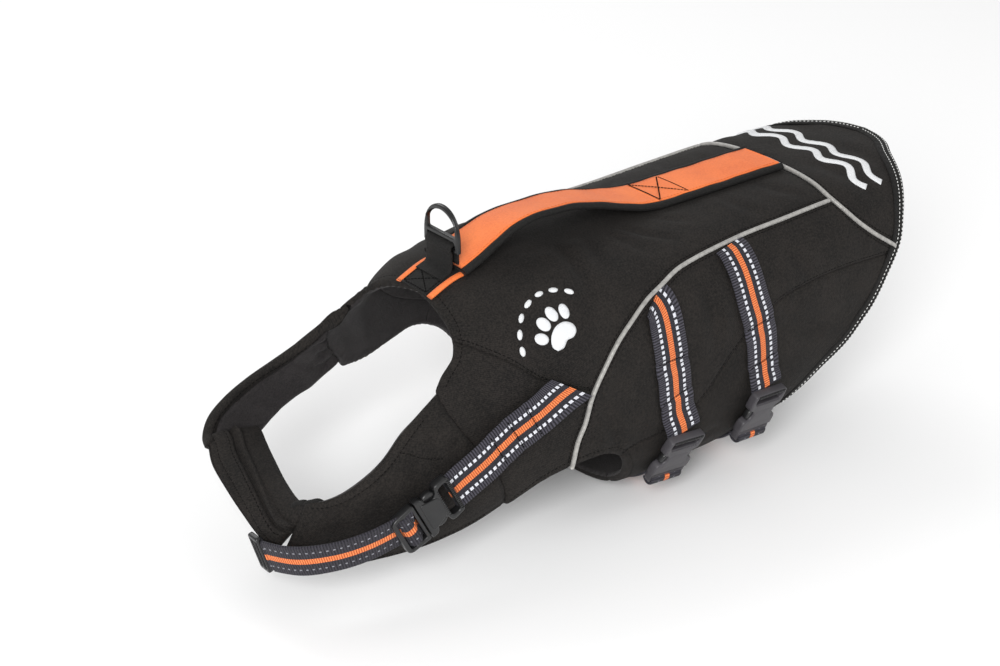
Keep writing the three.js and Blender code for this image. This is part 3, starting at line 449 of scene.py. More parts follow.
# ------------------------------------------------------------------ mesh helpers
def build(name, verts, faces, mats, index=None, uv=None, shade=True, body="jacket"):
    """A mesh object from points in millimetres, turned to face outwards, riding on a body."""
    verts = np.asarray(verts, float)
    vol = 0.0
    for f in faces:
        p = verts[f[0]]
        for a, b in zip(f[1:-1], f[2:]):
            vol += np.dot(p, np.cross(verts[a], verts[b]))
    if vol < 0:
        faces = [tuple(reversed(f)) for f in faces]
    me = bpy.data.meshes.new(name)
    me.from_pydata((verts * MM).tolist(), [], [tuple(int(i) for i in f) for f in faces])
    for m in mats if isinstance(mats, (list, tuple)) else [mats]:
        me.materials.append(m)
    if index is not None:
        me.polygons.foreach_set("material_index", np.asarray(index, np.int32))
    if uv is not None:
        layer = me.uv_layers.new(name="UVMap")
        loops = np.zeros(len(me.loops), np.int32)
        me.loops.foreach_get("vertex_index", loops)
        layer.data.foreach_set("uv", (np.asarray(uv, float)[loops] * MM).astype(np.float32).ravel())
    if shade:
        me.polygons.foreach_set("use_smooth", np.ones(len(me.polygons), bool))
    me.update()
    o = bpy.data.objects.new(name, me)
    bpy.context.scene.collection.objects.link(o)
    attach(o, body)
    return o


def tube(rows, closed_rows=False, caps=True):
    """Faces and points of closed cross-sections joined in a row: rows is (n, k, 3)."""
    n, k = rows.shape[:2]
    verts = rows.reshape(-1, 3)
    faces = []
    for i in range(n if closed_rows else n - 1):
        a, b = i * k, ((i + 1) % n) * k
        for j in range(k):
            j2 = (j + 1) % k
            faces.append((a + j, a + j2, b + j2, b + j))
    if caps and not closed_rows:
        faces.append(tuple(range(k)))
        faces.append(tuple(reversed(range((n - 1) * k, n * k))))
    return verts, faces


def hull_strip(P, profile, closed=False):
    """Cross-sections of a strip on the hull: profile is a list of (s across, off)."""
    P = np.asarray(P, float)
    if closed:
        d = np.roll(P, -1, 0) - np.roll(P, 1, 0)
        t = d / np.linalg.norm(d, axis=1, keepdims=True)
    else:
        t = tangents(P)
    s = np.array([q[0] for q in profile])[None, :]
    off = np.array([q[1] for q in profile])[None, :]
    x = P[:, :1] - t[:, 1:] * s
    u = P[:, 1:] + t[:, :1] * s
    return place(x, u, np.broadcast_to(off, x.shape))


def strip_uv(rows, across, ups=None):
    mid = rows.mean(1)
    v = np.concatenate([[0], np.cumsum(np.linalg.norm(np.diff(mid, axis=0), axis=1))])
    return np.stack([np.broadcast_to(np.asarray(across)[None, :], rows.shape[:2]), np.broadcast_to(v[:, None], rows.shape[:2])], 2).reshape(-1, 2)


def bend_profile(half, low, high, n=12, edge=0.7):
    """A flat strap's section with soft edges."""
    up = [(-half + 2 * half * j / n, high) for j in range(n + 1)]
    top_side = [(-half, (low + high) / 2)] + [(-half + edge * 0.3, high - edge * 0.35)] + [(max(-half + edge, min(half - edge, s)), h) for s, h in up] + [(half - edge * 0.3, high - edge * 0.35), (half, (low + high) / 2)]
    under = [(half - edge * 0.4, low), (0, low), (-half + edge * 0.4, low)]
    return top_side + under


def stitches(name, lines, mat, pitch=3.4, length=2.5, width=0.5, height=0.35, body="jacket"):
    """Sewn stitches: lines is a list of (points, normals) in millimetres."""
    verts, faces = [], []
    for P, N in lines:
        L = np.concatenate([[0], np.cumsum(np.linalg.norm(np.diff(P, axis=0), axis=1))])
        for k in range(int(L[-1] / pitch)):
            a = (k + 0.5) * pitch - length / 2
            at = lambda G, s: np.array([np.interp(s, L, G[:, c]) for c in range(3)])
            p, q, n = at(P, a), at(P, a + length), at(N, a + length / 2)
            t = q - p
            t /= np.linalg.norm(t)
            w = np.cross(t, n)
            w /= np.linalg.norm(w)
            m = (p + q) / 2
            i = len(verts)
            verts += [p, p + t * length * 0.18 + w * width / 2 + n * height * 0.3, q - t * length * 0.18 + w * width / 2 + n * height * 0.3, q]
            verts += [q - t * length * 0.18 - w * width / 2 + n * height * 0.3, p + t * length * 0.18 - w * width / 2 + n * height * 0.3]
            verts += [m - t * length * 0.28 + n * height, m + t * length * 0.28 + n * height, m - n * height]
            faces += [(i, i + 6, i + 1), (i + 1, i + 6, i + 7, i + 2), (i + 2, i + 7, i + 3), (i + 3, i + 7, i + 4), (i + 4, i + 7, i + 6, i + 5), (i + 5, i + 6, i)]
            faces += [(i, i + 1, i + 8), (i + 1, i + 2, i + 8), (i + 2, i + 3, i + 8), (i + 3, i + 4, i + 8), (i + 4, i + 5, i + 8), (i + 5, i, i + 8)]
    o = build(name, verts, faces, mat, body=body)
    return o


def hull_line(P, off):
    """A line on the hull for stitches, with its normals."""
    P = np.asarray(P, float)
    return place(P[:, 0], P[:, 1], np.broadcast_to(np.asarray(off, float), P[:, 0].shape)), normal(P[:, 0], P[:, 1])


def beside(P, s):
    """The line that runs s beside a line in the (x, u) plane."""
    t = tangents(P)
    return np.stack([P[:, 0] - t[:, 1] * s, P[:, 1] + t[:, 0] * s], 1)


def near(points, samples, reach=60.0):
    tree = KDTree(len(samples))
    for i, s in enumerate(samples):
        tree.insert((s[0], s[1], 0), i)
    tree.balance()
    out, which = np.full(len(points), reach), np.zeros(len(points), int)
    for i, p in enumerate(points):
        _, k, d = tree.find((p[0], p[1], 0))
        out[i], which[i] = min(d, reach), k
    return out, which


# ------------------------------------------------------------------ body wall: lines
STEP = 2.2
f_all = np.linspace(0, 1, 321)


def round_line(at, side, f0=0.0, f1=1.0):
    f = np.linspace(f0, f1, int(320 * (f1 - f0)) + 1)
    x = at(f)
    return np.stack([x, side * f * whole(x)], 1)


def leg_line(table, side):
    """The edge of a leg opening, from its side view to the hull."""
    P = smooth(table, 200)
    out = []
    for x, z in P:
        i = int(np.clip(round((x - XS[0]) / 2), 0, len(XS) - 1))
        if z <= SZ[i, -1] + 0.4:
            break
        out.append((x, side * np.interp(-z, -SZ[i], SL[i])))
    end = (-9.0, side * float(whole(-9.0)))
    out = [p for p in out if abs(p[1]) < abs(end[1]) - 6]
    return even(np.array(out + [end]), STEP)


front_l, front_r = even(round_line(front_at, -1), STEP), even(round_line(front_at, 1), STEP)
hem_l, hem_r = even(round_line(hem_at, -1), STEP), even(round_line(hem_at, 1), STEP)
leg_l, leg_r = leg_line(LEG_LEFT, -1), leg_line(LEG_RIGHT, 1)
yoke_table = [(x, -u) for x, u in reversed(YOKE[1:])] + YOKE
yoke_line = path(yoke_table, STEP)
piping_line, shoulder_line, side_line = path(PIPING, STEP), path(SHOULDER, STEP), path(SIDE, STEP)
bx = np.arange(-30, 172, STEP)
belly_line = np.stack([bx, BELLY_SHARE * whole(bx)], 1)
cut_x = np.unique(np.concatenate([np.arange(-112, 128, STEP), [-9.0, 128.0, -112.0]]))
cut_r = np.stack([cut_x, whole(cut_x)], 1)
cut_l = flip(cut_r)
seams = [yoke_line] + [g(q) for q in (piping_line, shoulder_line, side_line, belly_line) for g in (np.asarray, flip)]


def dense(P, step=0.6):
    return even(P, step)


def share_of(P):
    return np.abs(P[:, 1]) / whole(P[:, 0])


# where the neck bands join the wall's front edge, that edge is a seam
joined_l = front_l[(share_of(front_l) > 0.3) & (share_of(front_l) < 0.65)]
joined_r = front_r[(share_of(front_r) > 0.25) & (share_of(front_r) < 0.45)]
free = [front_l[share_of(front_l) <= 0.3], front_l[share_of(front_l) >= 0.65], front_r[share_of(front_r) <= 0.25], front_r[share_of(front_r) >= 0.45], leg_l, leg_r]
seam_samples = np.vstack([dense(s) for s in seams + [joined_l, joined_r]])
free_samples = np.vstack([dense(s) for s in free if len(s) > 2])
hem_samples = np.vstack([dense(hem_l), dense(hem_r)])

# Creases: points (x, u), depth (positive sinks), half width.
LEFT_CREASES = [
    ([(-30, -14), (-38, -40), (-42, -66), (-44, -84)], 1.9, 6.0),
    ([(-12, -30), (-20, -52), (-30, -70)], 0.9, 5.0),
    ([(22, -27), (28, -40), (40, -52), (50, -60)], 1.3, 4.0),
    ([(8, -30), (12, -48), (18, -62)], 0.9, 4.5),
    ([(52, -27), (62, -38), (76, -46)], 1.0, 4.0),
    ([(46, -88), (49, -112), (53, -138), (50, -158)], 1.3, 6.0),
    ([(62, -100), (64, -125), (60, -146)], -0.8, 6.0),
    ([(-110, -52), (-98, -74), (-92, -96)], 0.7, 7.0),
    ([(-150, -100), (-142, -122), (-136, -146)], 1.0, 6.0),
    ([(-166, -104), (-156, -128), (-146, -160)], 1.4, 5.0),
    ([(-54, -158), (-44, -178), (-36, -198), (-26, -216)], 1.6, 4.5),
    ([(-66, -176), (-60, -192), (-58, -204)], 0.9, 4.0),
    ([(128, -92), (140, -112), (158, -126)], 1.0, 6.0),
    ([(120, -150), (146, -162), (172, -176)], 1.2, 7.0),
    ([(150, -140), (176, -150), (204, -160)], -0.8, 7.0),
    ([(206, -112), (212, -126), (226, -140)], 0.8, 5.0),
    ([(118, -30), (122, -48), (132, -64)], 0.8, 5.0),
    ([(158, -28), (164, -46), (176, -62)], 0.9, 5.0),
    ([(216, -20), (226, -50), (236, -86)], 0.9, 7.0),
    ([(262, -8), (268, -40), (266, -72)], 1.0, 8.0),
    ([(238, -132), (240, -150), (232, -168)], 0.9, 5.0),
    ([(20, -222), (40, -228), (66, -224)], 1.1, 5.0),
    ([(60, -204), (84, -214), (108, -210)], 0.8, 5.0),
]
creases = LEFT_CREASES + [([(x + 5 * math.sin(i * 1.7) + 3, -u * (1 + 0.03 * math.sin(i * 2.3))) for x, u in P], d * (0.75 + 0.2 * math.sin(i)), w * (1 + 0.2 * math.cos(i * 1.3))) for i, (P, d, w) in enumerate(LEFT_CREASES)]
creases += [([(40, 300), (46, 330), (44, 362)], 1.0, 7.0), ([(86, 290), (90, 326), (84, 352)], 1.1, 7.0)]


def dent(x, u):
    """How far the listed creases and soft waves move the cloth, in millimetres."""
    out = 0.5 * np.sin(x / 31 + 1.3 * np.sin(u / 47)) * np.sin(u / 38 + 0.7) + 0.34 * np.sin(x / 13.5 + u / 29 + 1.1) * np.sin(u / 17 + x / 41) + 0.16 * np.sin(x / 6.3 - u / 12.5 + 1.7 * np.sin(u / 33)) * np.sin(u / 21 + x / 27 + 0.4)
    for P, depth, width in creases:
        L = even(smooth(P, 24), 3.0)
        lo, hi = L.min(0) - 4 * width, L.max(0) + 4 * width
        inside = (x > lo[0]) & (x < hi[0]) & (u > lo[1]) & (u < hi[1])
        if not inside.any():
            continue
        q = np.stack([x[inside], u[inside]], 1)
        d = np.linalg.norm(q[:, None, :] - L[None, :, :], axis=2)
        k = d.argmin(1)
        dd = d[np.arange(len(q)), k]
        fade = np.sin(np.pi * np.clip((k + 0.6) / (len(L) + 0.2), 0, 1)) ** 0.7
        out[inside] += 1.35 * fade * (-depth * np.exp(-((dd / width) ** 2)) + 0.45 * depth * np.exp(-(((dd - 1.9 * width) / (1.1 * width)) ** 2)))
    return out


# places where something lies on the cloth, which keeps it flat: line, half width
covers = [(path([(x, -u) for x, u in BELLY_FRONT], 3), 19), (path([(x, -u) for x, u in BELLY_REAR], 3), 19)]
under = np.vstack([c for c, _ in covers])


# ------------------------------------------------------------------ body wall: panels
def wall_mesh():
    pts, edges, seen = [], [], {}

    def add(P):
        ids = []
        for p in P:
            key = (round(float(p[0]), 3), round(float(p[1]), 3))
            if key not in seen:
                seen[key] = len(pts)
                pts.append((float(p[0]), float(p[1])))
            ids.append(seen[key])
        edges.extend((a, b) for a, b in zip(ids, ids[1:]) if a != b)

    lines = [front_l, front_r, hem_l, hem_r, leg_l, leg_r, cut_l, cut_r] + seams
    for L in lines:
        add(L)
    guard = np.vstack([dense(L, 0.9) for L in lines])
    gx, gu = np.meshgrid(np.arange(-182, 314, 3.0), np.arange(-345, 346, 3.0), indexing="ij")
    gu = gu + np.where((np.arange(gx.shape[0]) % 2)[:, None] == 1, 1.5, 0)
    q = np.stack([gx.ravel(), gu.ravel()], 1)
    share = np.abs(q[:, 1]) / whole(q[:, 0])
    keep = (share < 1) & (q[:, 0] > front_at(np.clip(share, 0, 1))) & (q[:, 0] < hem_at(np.clip(share, 0, 1)))
    q = q[keep]
    d, _ = near(q, guard)
    q = q[d > 1.5]
    # a ring of points close to every line, so that its dip or roll is smooth
    ring = []
    for L in lines[:6] + seams:
        for s in (0.8, 1.8, -0.8, -1.8):
            ring.append(beside(even(L, 2.6), s))
    ring = np.vstack(ring)
    share = np.abs(ring[:, 1]) / whole(ring[:, 0])
    ok = (share < 0.999) & (ring[:, 0] > front_at(np.clip(share, 0, 1)) + 0.3) & (ring[:, 0] < hem_at(np.clip(share, 0, 1)) - 0.3)
    ring = ring[ok]
    d, _ = near(ring, guard)
    ring = ring[d > 0.6]
    inner = [tuple(p) for p in np.vstack([q, ring])]
    co = [Vector(p) for p in pts + inner]
    v, e, f, _, oe, _ = delaunay_2d_cdt(co, edges, [], 0, 0.02)
    V = np.array([(p.x, p.y) for p in v])
    T = np.array([tuple(t) for t in f])
    hard = {tuple(sorted(e[i])) for i in range(len(e)) if oe[i]}
    return V, T, hard


V2, T2, HARD = wall_mesh()
parent = list(range(len(T2)))


def root(i):
    while parent[i] != i:
        parent[i] = parent[parent[i]]
        i = parent[i]
    return i


edge_of = {}
for i, t in enumerate(T2):
    for a, b in ((t[0], t[1]), (t[1], t[2]), (t[2], t[0])):
        key = (a, b) if a < b else (b, a)
        if key in edge_of and key not in HARD:
            parent[root(i)] = root(edge_of[key])
        edge_of.setdefault(key, i)
group = np.array([root(i) for i in range(len(T2))])

d_seam, k_seam = near(V2, seam_samples)
d_free, _ = near(V2, free_samples)
d_hem, _ = near(V2, hem_samples)
d_under, _ = near(V2, under, 40)
wave = dent(V2[:, 0], V2[:, 1])
hush = np.clip((d_under - 12) / 14, 0, 1) * np.clip(np.minimum(d_seam, d_free) / 10, 0.15, 1)
spine = np.clip((np.abs(V2[:, 1]) - 22) / 12, 0, 1)
spine = np.where(V2[:, 0] > 199, 1.0, spine)
wave = wave * hush * spine
pucker = np.sin(k_seam * 0.6 / 1.9 + 1.5 * np.sin(k_seam * 0.6 / 11)) * (0.6 + 0.4 * np.sin(k_seam * 0.6 / 23))
wave = wave + 0.3 * pucker * np.exp(-(((d_seam - 5) / 3.6) ** 2)) * np.clip((d_under - 14) / 8, 0, 1) * spine
edge = np.minimum(d_free, d_hem)
R = PAD / 2
roll = R - np.sqrt(np.maximum(R * R - np.maximum(R - edge, 0) ** 2, 0))
puff = 0.75 * (1 - np.exp(-((np.minimum(d_seam, edge) / 16) ** 2)))
puff = puff * np.clip((d_under - 13) / 10, 0, 1) * spine
lip = 0.35 * np.exp(-(((edge - 2.4) / 1.6) ** 2)) - 0.55 * np.exp(-(((edge - 6) / 1.3) ** 2))
outer_off = puff + np.minimum(wave, 1.1) + lip - roll - 1.7 * np.exp(-d_seam / 1.5)
inner_off = -PAD + 0.8 * wave + roll - 0.6 * (1 - np.exp(-((np.minimum(d_seam, edge) / 18) ** 2))) + 1.2 * np.exp(-d_seam / 3) + 0.4 * np.exp(-(((edge - 6) / 1.6) ** 2))

outer_pts = place(V2[:, 0], V2[:, 1], outer_off)
inner_pts = place(V2[:, 0], V2[:, 1], np.minimum(inner_off, outer_off - 0.02))

cloth_tree = KDTree(len(V2))
for i, q in enumerate(V2):
    cloth_tree.insert((q[0], q[1], 0), i)
cloth_tree.balance()


def cloth_off(x, u):
    """How far the outer cloth stands off the hull at points, from its nearest vertices."""
    out = np.zeros(np.shape(x))
    for i, (a, b) in enumerate(zip(np.ravel(x), np.ravel(u))):
        w = v = 0.0
        for _, k, d in cloth_tree.find_n((a, b, 0), 5):
            g = 1 / (d * d + 0.4)
            w, v = w + g, v + g * outer_off[k]
        out.flat[i] = v / w
    return out


PANELS = [
    ("back_panel", 60, 8),
    ("rear_yoke", 260, 8),
    ("shoulder_panel_left", -120, -150),
    ("shoulder_panel_right", -120, 130),
    ("side_panel_left", 40, -120),
    ("side_panel_right", 40, 120),
    ("flank_panel_left", 130, -170),
    ("flank_panel_right", 130, 170),
    ("belly_panel", 60, 310),
]
centre = V2[T2].mean(1)


def panel(name, x, u):
    k = np.argmin(np.hypot(centre[:, 0] - x, centre[:, 1] - u))
    groups = {group[k]}
    if name == "belly_panel":
        k2 = np.argmin(np.hypot(centre[:, 0] - x, centre[:, 1] + u))
        groups.add(group[k2])
    T = T2[np.isin(group, list(groups))]
    count = {}
    for t in T:
        for a, b in ((t[0], t[1]), (t[1], t[2]), (t[2], t[0])):
            count.setdefault((min(a, b), max(a, b)), []).append((a, b))
    rim = []
    for key, uses in count.items():
        if len(uses) == 1:
            a, b = uses[0]
            if all(abs(abs(V2[i, 1]) - whole(V2[i, 0])) < 0.03 for i in (a, b)):
                continue
            rim.append((a, b))
    used = np.unique(T)
    new = np.full(len(V2), -1)
    new[used] = np.arange(len(used))
    n = len(used)
    verts = np.vstack([outer_pts[used], inner_pts[used]])
    faces = [tuple(new[t]) for t in T] + [tuple(n + new[i] for i in reversed(t)) for t in T]
    index = [0] * len(T) + [1] * len(T)
    for a, b in rim:
        faces.append((new[b], new[a], n + new[a], n + new[b]))
        index.append(0)
    uv = np.vstack([V2[used], V2[used]])
    o = build(name + "_cloth", verts, faces, [CLOTH, LINING], index, uv)
    if name == "belly_panel":
        bm = bmesh.new()
        bm.from_mesh(o.data)
        bmesh.ops.remove_doubles(bm, verts=bm.verts, dist=2e-5)
        bm.to_mesh(o.data)
        bm.free()
    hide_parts(name)
    return o


for row in PANELS:
    panel(*row)


# ------------------------------------------------------------------ neck bands
def band(name, table, thick, out, first=None, first_n=None, rows=14, across=44, edges=(1, 1), ends=(0, 1), shape=None, mats=None, inner_rim=0.0):
    """A padded band between the two edges of a table. shape(s, w, v, w) adds to both faces,
    where s is the distance from the first edge, w the width and v the length so far."""
    T = np.array(table, float)
    n = (len(T) - 1) * rows
    A, B = smooth(T[:, :3], n), smooth(T[:, 3:6], n)
    swell = curve(np.arange(len(T)), T[:, 6])(np.arange(n + 1) / rows)
    f = 0.5 - 0.5 * np.cos(np.pi * np.linspace(0, 1, across + 1)) * 0.55 - 0.5 * 0.45 * (1 - 2 * np.linspace(0, 1, across + 1))
    f = (f - f[0]) / (f[-1] - f[0])
    mid = A[:, None, :] * (1 - f[None, :, None]) + B[:, None, :] * f[None, :, None]
    mid[..., 2] -= DATUM
    start = 0
    if first is not None:
        lead = 8
        g = np.linspace(0, 1, len(first))
        row0 = np.stack([np.interp(f, g, first[:, k]) for k in range(3)], 1)
        # straight run from the wall to the first section, as the solid has it
        extra = np.array([row0 * (1 - t) + mid[0] * t for t in np.arange(lead) / lead])
        mid = np.concatenate([extra, mid])
        swell = np.concatenate([swell[0] * np.arange(lead) / lead, swell])
        start = lead
        # ease the corner that this leaves
        for _ in range(6):
            blend = mid.copy()
            a = slice(1, start + 6)
            blend[a] = 0.5 * mid[a] + 0.25 * (mid[0 : start + 5] + mid[2 : start + 7])
            mid = blend
    di = np.gradient(mid, axis=0)
    dj = np.gradient(mid, axis=1)
    w = np.cross(di, dj)
    w /= np.linalg.norm(w, axis=2, keepdims=True)
    sign = np.sign((w @ np.asarray(out, float)).mean())
    w = w * sign
    if first_n is not None:
        g = np.linspace(0, 1, len(first_n))
        n0 = np.stack([np.interp(f, g, first_n[:, k]) for k in range(3)], 1)
        for i in range(start + 1):
            t = i / start
            w[i] = n0 * (1 - t) + w[i] * t
        w /= np.linalg.norm(w, axis=2, keepdims=True)
    width = np.linalg.norm(mid[:, -1] - mid[:, 0], axis=1)[:, None]
    length = np.concatenate([[0], np.cumsum(np.linalg.norm(np.diff(mid[:, across // 2], axis=0), axis=1))])[:, None]
    s = f[None, :] * width
    r = thick / 2
    off = np.full(s.shape, r)

    def rolled(d, kind):
        if kind == 1:  # a free rolled edge
            return r - np.sqrt(np.maximum(r * r - np.maximum(r - d, 0) ** 2, 0))
        if kind == 2:  # a seam
            return 1.4 * np.exp(-d / 1.6)
        return np.zeros_like(d)

    loss = np.maximum.reduce([rolled(s, edges[0]), rolled(width - s, edges[1]), np.broadcast_to(rolled(length, ends[0]), s.shape), np.broadcast_to(rolled(length[-1] - length, ends[1]), s.shape)])
    puff = 0.9 * (1 - np.exp(-((np.minimum(s, width - s) / 12) ** 2)))
    move = swell[:, None] * np.sin(np.pi * f)[None, :]
    add_out, add_in = (np.zeros_like(s), np.zeros_like(s)) if shape is None else shape(s, width, length)
    o_pts = mid + w * (move + off - loss + puff + add_out)[..., None]
    i_pts = mid + w * (move - off + loss - 0.7 * puff - add_in)[..., None]
    rws, cols = s.shape
    verts = np.concatenate([o_pts.reshape(-1, 3), i_pts.reshape(-1, 3)])
    at = lambda g, i, j: g * rws * cols + i * cols + j
    faces, index = [], []
    for i in range(rws - 1):
        for j in range(cols - 1):
            faces.append((at(0, i, j), at(0, i + 1, j), at(0, i + 1, j + 1), at(0, i, j + 1)))
            index.append(0)
            faces.append((at(1, i, j), at(1, i, j + 1), at(1, i + 1, j + 1), at(1, i + 1, j)))
            sj = (s[i, j] + s[i, j + 1]) / 2
            rim = inner_rim > 0 and (width[i, 0] - sj < inner_rim) or inner_rim < 0 and sj < -inner_rim
            index.append(0 if rim else 1)
    for i in range(rws - 1):
        faces += [(at(0, i + 1, 0), at(0, i, 0), at(1, i, 0), at(1, i + 1, 0)), (at(0, i, cols - 1), at(0, i + 1, cols - 1), at(1, i + 1, cols - 1), at(1, i, cols - 1))]
        index += [0, 0]
    for j in range(cols - 1):
        faces += [(at(0, 0, j), at(0, 0, j + 1), at(1, 0, j + 1), at(1, 0, j)), (at(0, rws - 1, j + 1), at(0, rws - 1, j), at(1, rws - 1, j), at(1, rws - 1, j + 1))]
        index += [0, 0]
    uv = np.stack([np.broadcast_to(length, s.shape), s], 2).reshape(-1, 2)
    o = build(name + "_cloth", verts, faces, mats or [CLOTH, LINING], index, np.vstack([uv, uv]))
    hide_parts(name)
    return o, o_pts, i_pts, w


def meet(side, j0, j1):
    js = np.linspace(j0, j1, 12)
    f = 2 * js / COLS
    x0 = front_at(f)
    u0 = side * f * whole(x0)
    return place(x0 - 0.1, u0, np.full(len(f), -BAND_PAD / 2)), normal(x0, u0)


def folds(s, length, items):
    """Soft folds on a band: (s0, l0, s1, l1, depth, width)."""
    out = np.zeros(np.broadcast(s, length).shape)
    for s0, l0, s1, l1, depth, wid in items:
        d = np.array([s1 - s0, l1 - l0])
        t = ((s - s0) * d[0] + (length - l0) * d[1]) / (d @ d)
        dist = np.hypot(s - s0 - t * d[0], length - l0 - t * d[1])
        out += -depth * np.exp(-((dist / wid) ** 2)) * np.exp(-(np.maximum(np.abs(t - 0.5) - 0.35, 0) / 0.2) ** 2)
    return out


def chest_shape(s, width, length):
    f = folds(
        s,
        length,
        [
            (2, 14, 40, 34, 1.6, 3.2),
            (30, 8, 62, 26, 1.2, 4.0),
            (6, 34, 44, 60, 0.9, 5.0),
            (44, 30, 78, 46, 1.0, 4.5),
            (20, 74, 44, 96, 0.8, 5.0),
            (52, 66, 66, 92, 0.9, 4.5),
            (18, 112, 38, 122, 0.9, 3.5),
        ],
    )
    gather = 0.55 * np.exp(-((length - 10) / 9) ** 2) * np.sin(s / 3.1) * np.exp(-((s - 46) / 26) ** 2)
    rim = -0.5 * np.exp(-(((s - 6) / 1.2) ** 2)) - 0.5 * np.exp(-(((width - s - 6) / 1.2) ** 2))
    a = f + gather + rim
    return a, -f + 0.3 * np.sin(length / 11)


first, first_n = meet(-1, 6, 13.9)
_, chest_out, chest_in, chest_w = band("chest_panel_left", [(-208, -74, -61.5, -158, -78, -150, 6), (-225, -75, -76.5, -186, -74, -154, 4.5)] + CHEST[2:], BAND_PAD, (-0.3, -1, 0), first, first_n, ends=(2, 1), shape=chest_shape, across=60)


def right_shape(s, width, length):
    # the rolled outer edge stands proud of the lining along the neck opening
    groove = np.exp(-(((width - s - 8.5) / 1.1) ** 2))
    swell = 1.1 * np.exp(-(((width - s - 3.6) / 3.4) ** 2))
    pinch = np.exp(-((length - 6) / 8) ** 2)
    pleat = pinch * 1.5 * np.sin(s / 2.0 + 0.6 + 0.35 * np.sin(length / 3))
    f = folds(s, length, [(4, 8, 30, 30, 1.3, 3), (10, 4, 38, 16, 1.2, 3), (2, 60, 26, 70, 1.2, 3.5), (4, 74, 20, 92, 1.5, 3.5), (16, 84, 34, 96, 1.0, 3)])
    return 0.5 * pleat + 0.5 * f, swell - 1.3 * groove + pleat + f


first, first_n = meet(1, 9.5, 4.9)
_, right_out, right_in, right_w = band("neck_band_right", [(-182, 78.5, -96.5, -198, 74, -58, 2), (-195, 76, -98.2, -213, 77, -65, 2.5)] + BAND_RIGHT[2:] + [(-246.5, 44, -118.5, -286.5, 51, -97.5, 0.5)], BAND_PAD, (-0.3, 1, 0), first, first_n, ends=(2, 1), shape=right_shape, inner_rim=8.5)


def flap_shape(s, width, length):
    f = s / width
    lining = -0.8 * np.clip((0.42 - f) / 0.06, 0, 1) + 0.5 * np.sin(length / 10 + 5 * f) * np.exp(-(((f - 0.2) / 0.18) ** 2))
    ridge = 2.8 * np.exp(-(((f - 0.48) / 0.045) ** 2))
    groove = -3.9 * np.exp(-(((f - 0.585) / 0.026) ** 2)) - 2.3 * np.exp(-(((f - 0.405) / 0.02) ** 2))
    piece = 1.3 * np.clip((f - 0.62) / 0.02, 0, 1) * np.clip((0.885 - f) / 0.012, 0, 1)
    step = -1.6 * np.clip((f - 0.885) / 0.012, 0, 1)
    wobble = 0.35 * np.sin(length / 8 + 1.2) * np.exp(-(((f - 0.5) / 0.2) ** 2)) + 0.3 * np.sin(length / 13 + 3 * f)
    return lining + ridge + groove + piece + step + wobble, 0.3 * np.sin(length / 9)


_, flap_out, flap_in, flap_w = band("front_flap", [(-268, -55, -105.5, -286.5, -39, -137.5, 0.5)] + FLAP + [(-238.5, 60, -102.5, -283.5, 57.5, -96.5, 0.5)], BAND_PAD - 1, (0, 0, 1), ends=(1, 1), shape=flap_shape, mats=[CLOTH, LINING])
band("front_flap_inner", FLAP_INNER, 5.0, (0, 0, 1), ends=(1, 1), mats=[CLOTH, LINING])

# ------------------------------------------------------------------ hem binding
hem_loop = np.vstack([round_line(hem_at, -1)[:-1], round_line(hem_at, 1)[::-1][:-1]])


def wrap_tangent(P):
    """Tangents round a closed line on the hull, across the belly line as well."""
    W = whole(P[:, 0])
    a, b = np.roll(P, 1, 0), np.roll(P, -1, 0)
    for q in (a, b):
        jump = q[:, 1] - P[:, 1]
        q[:, 1] = np.where(jump > W, q[:, 1] - 2 * W, np.where(jump < -W, q[:, 1] + 2 * W, q[:, 1]))
    t = b - a
    return t / np.linalg.norm(t, axis=1, keepdims=True)


keep_every = 2
HL = hem_loop[::keep_every]
HT = wrap_tangent(HL)
away = np.stack([-HT[:, 1], HT[:, 0]], 1)
away *= np.sign(away[:, :1] + 1e-9)
hem_profile = [(-8.4, 0.15), (-8.0, 0.75), (-7.0, 1.05), (-5.0, 1.0), (-3.2, 0.8), (-1.2, 1.05), (0.9, 0.85), (2.3, -0.1), (3.1, -1.8), (3.3, -3.5), (3.1, -5.2), (2.3, -6.9), (0.9, -7.7), (-2.5, -8.1), (-7.0, -8.2), (-8.4, -7.6), (-8.0, -6.2), (-2.0, -5.6), (0.2, -3.5), (-2.0, -1.6), (-8.0, -0.8)]
s = np.array([q[0] for q in hem_profile])[None, :]
o = np.array([q[1] for q in hem_profile])[None, :]
gather = 0.25 * np.sin(np.arange(len(HL)) * 1.9)[:, None] * (np.abs(s + 4) < 4)
rows = place(HL[:, :1] + away[:, :1] * s, HL[:, 1:] + away[:, 1:] * s, np.broadcast_to(o, (len(HL), s.shape[1])) + gather)
v, f = tube(rows, closed_rows=True)
hem = build("hem_binding_cloth", v, f, BINDING, uv=strip_uv(rows, s[0]))
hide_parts("hem_binding")
hem_lines = []
for k in (0.4, -3.2):
    q = HL + away * k
    q = np.vstack([q, q[:1]])
    hem_lines.append(hull_line(q, 0.98 if k > 0 else 0.9))
stitches("hem_stitches", hem_lines, THREAD_WHITE, pitch=3.3, length=2.1, width=0.75, height=0.45)

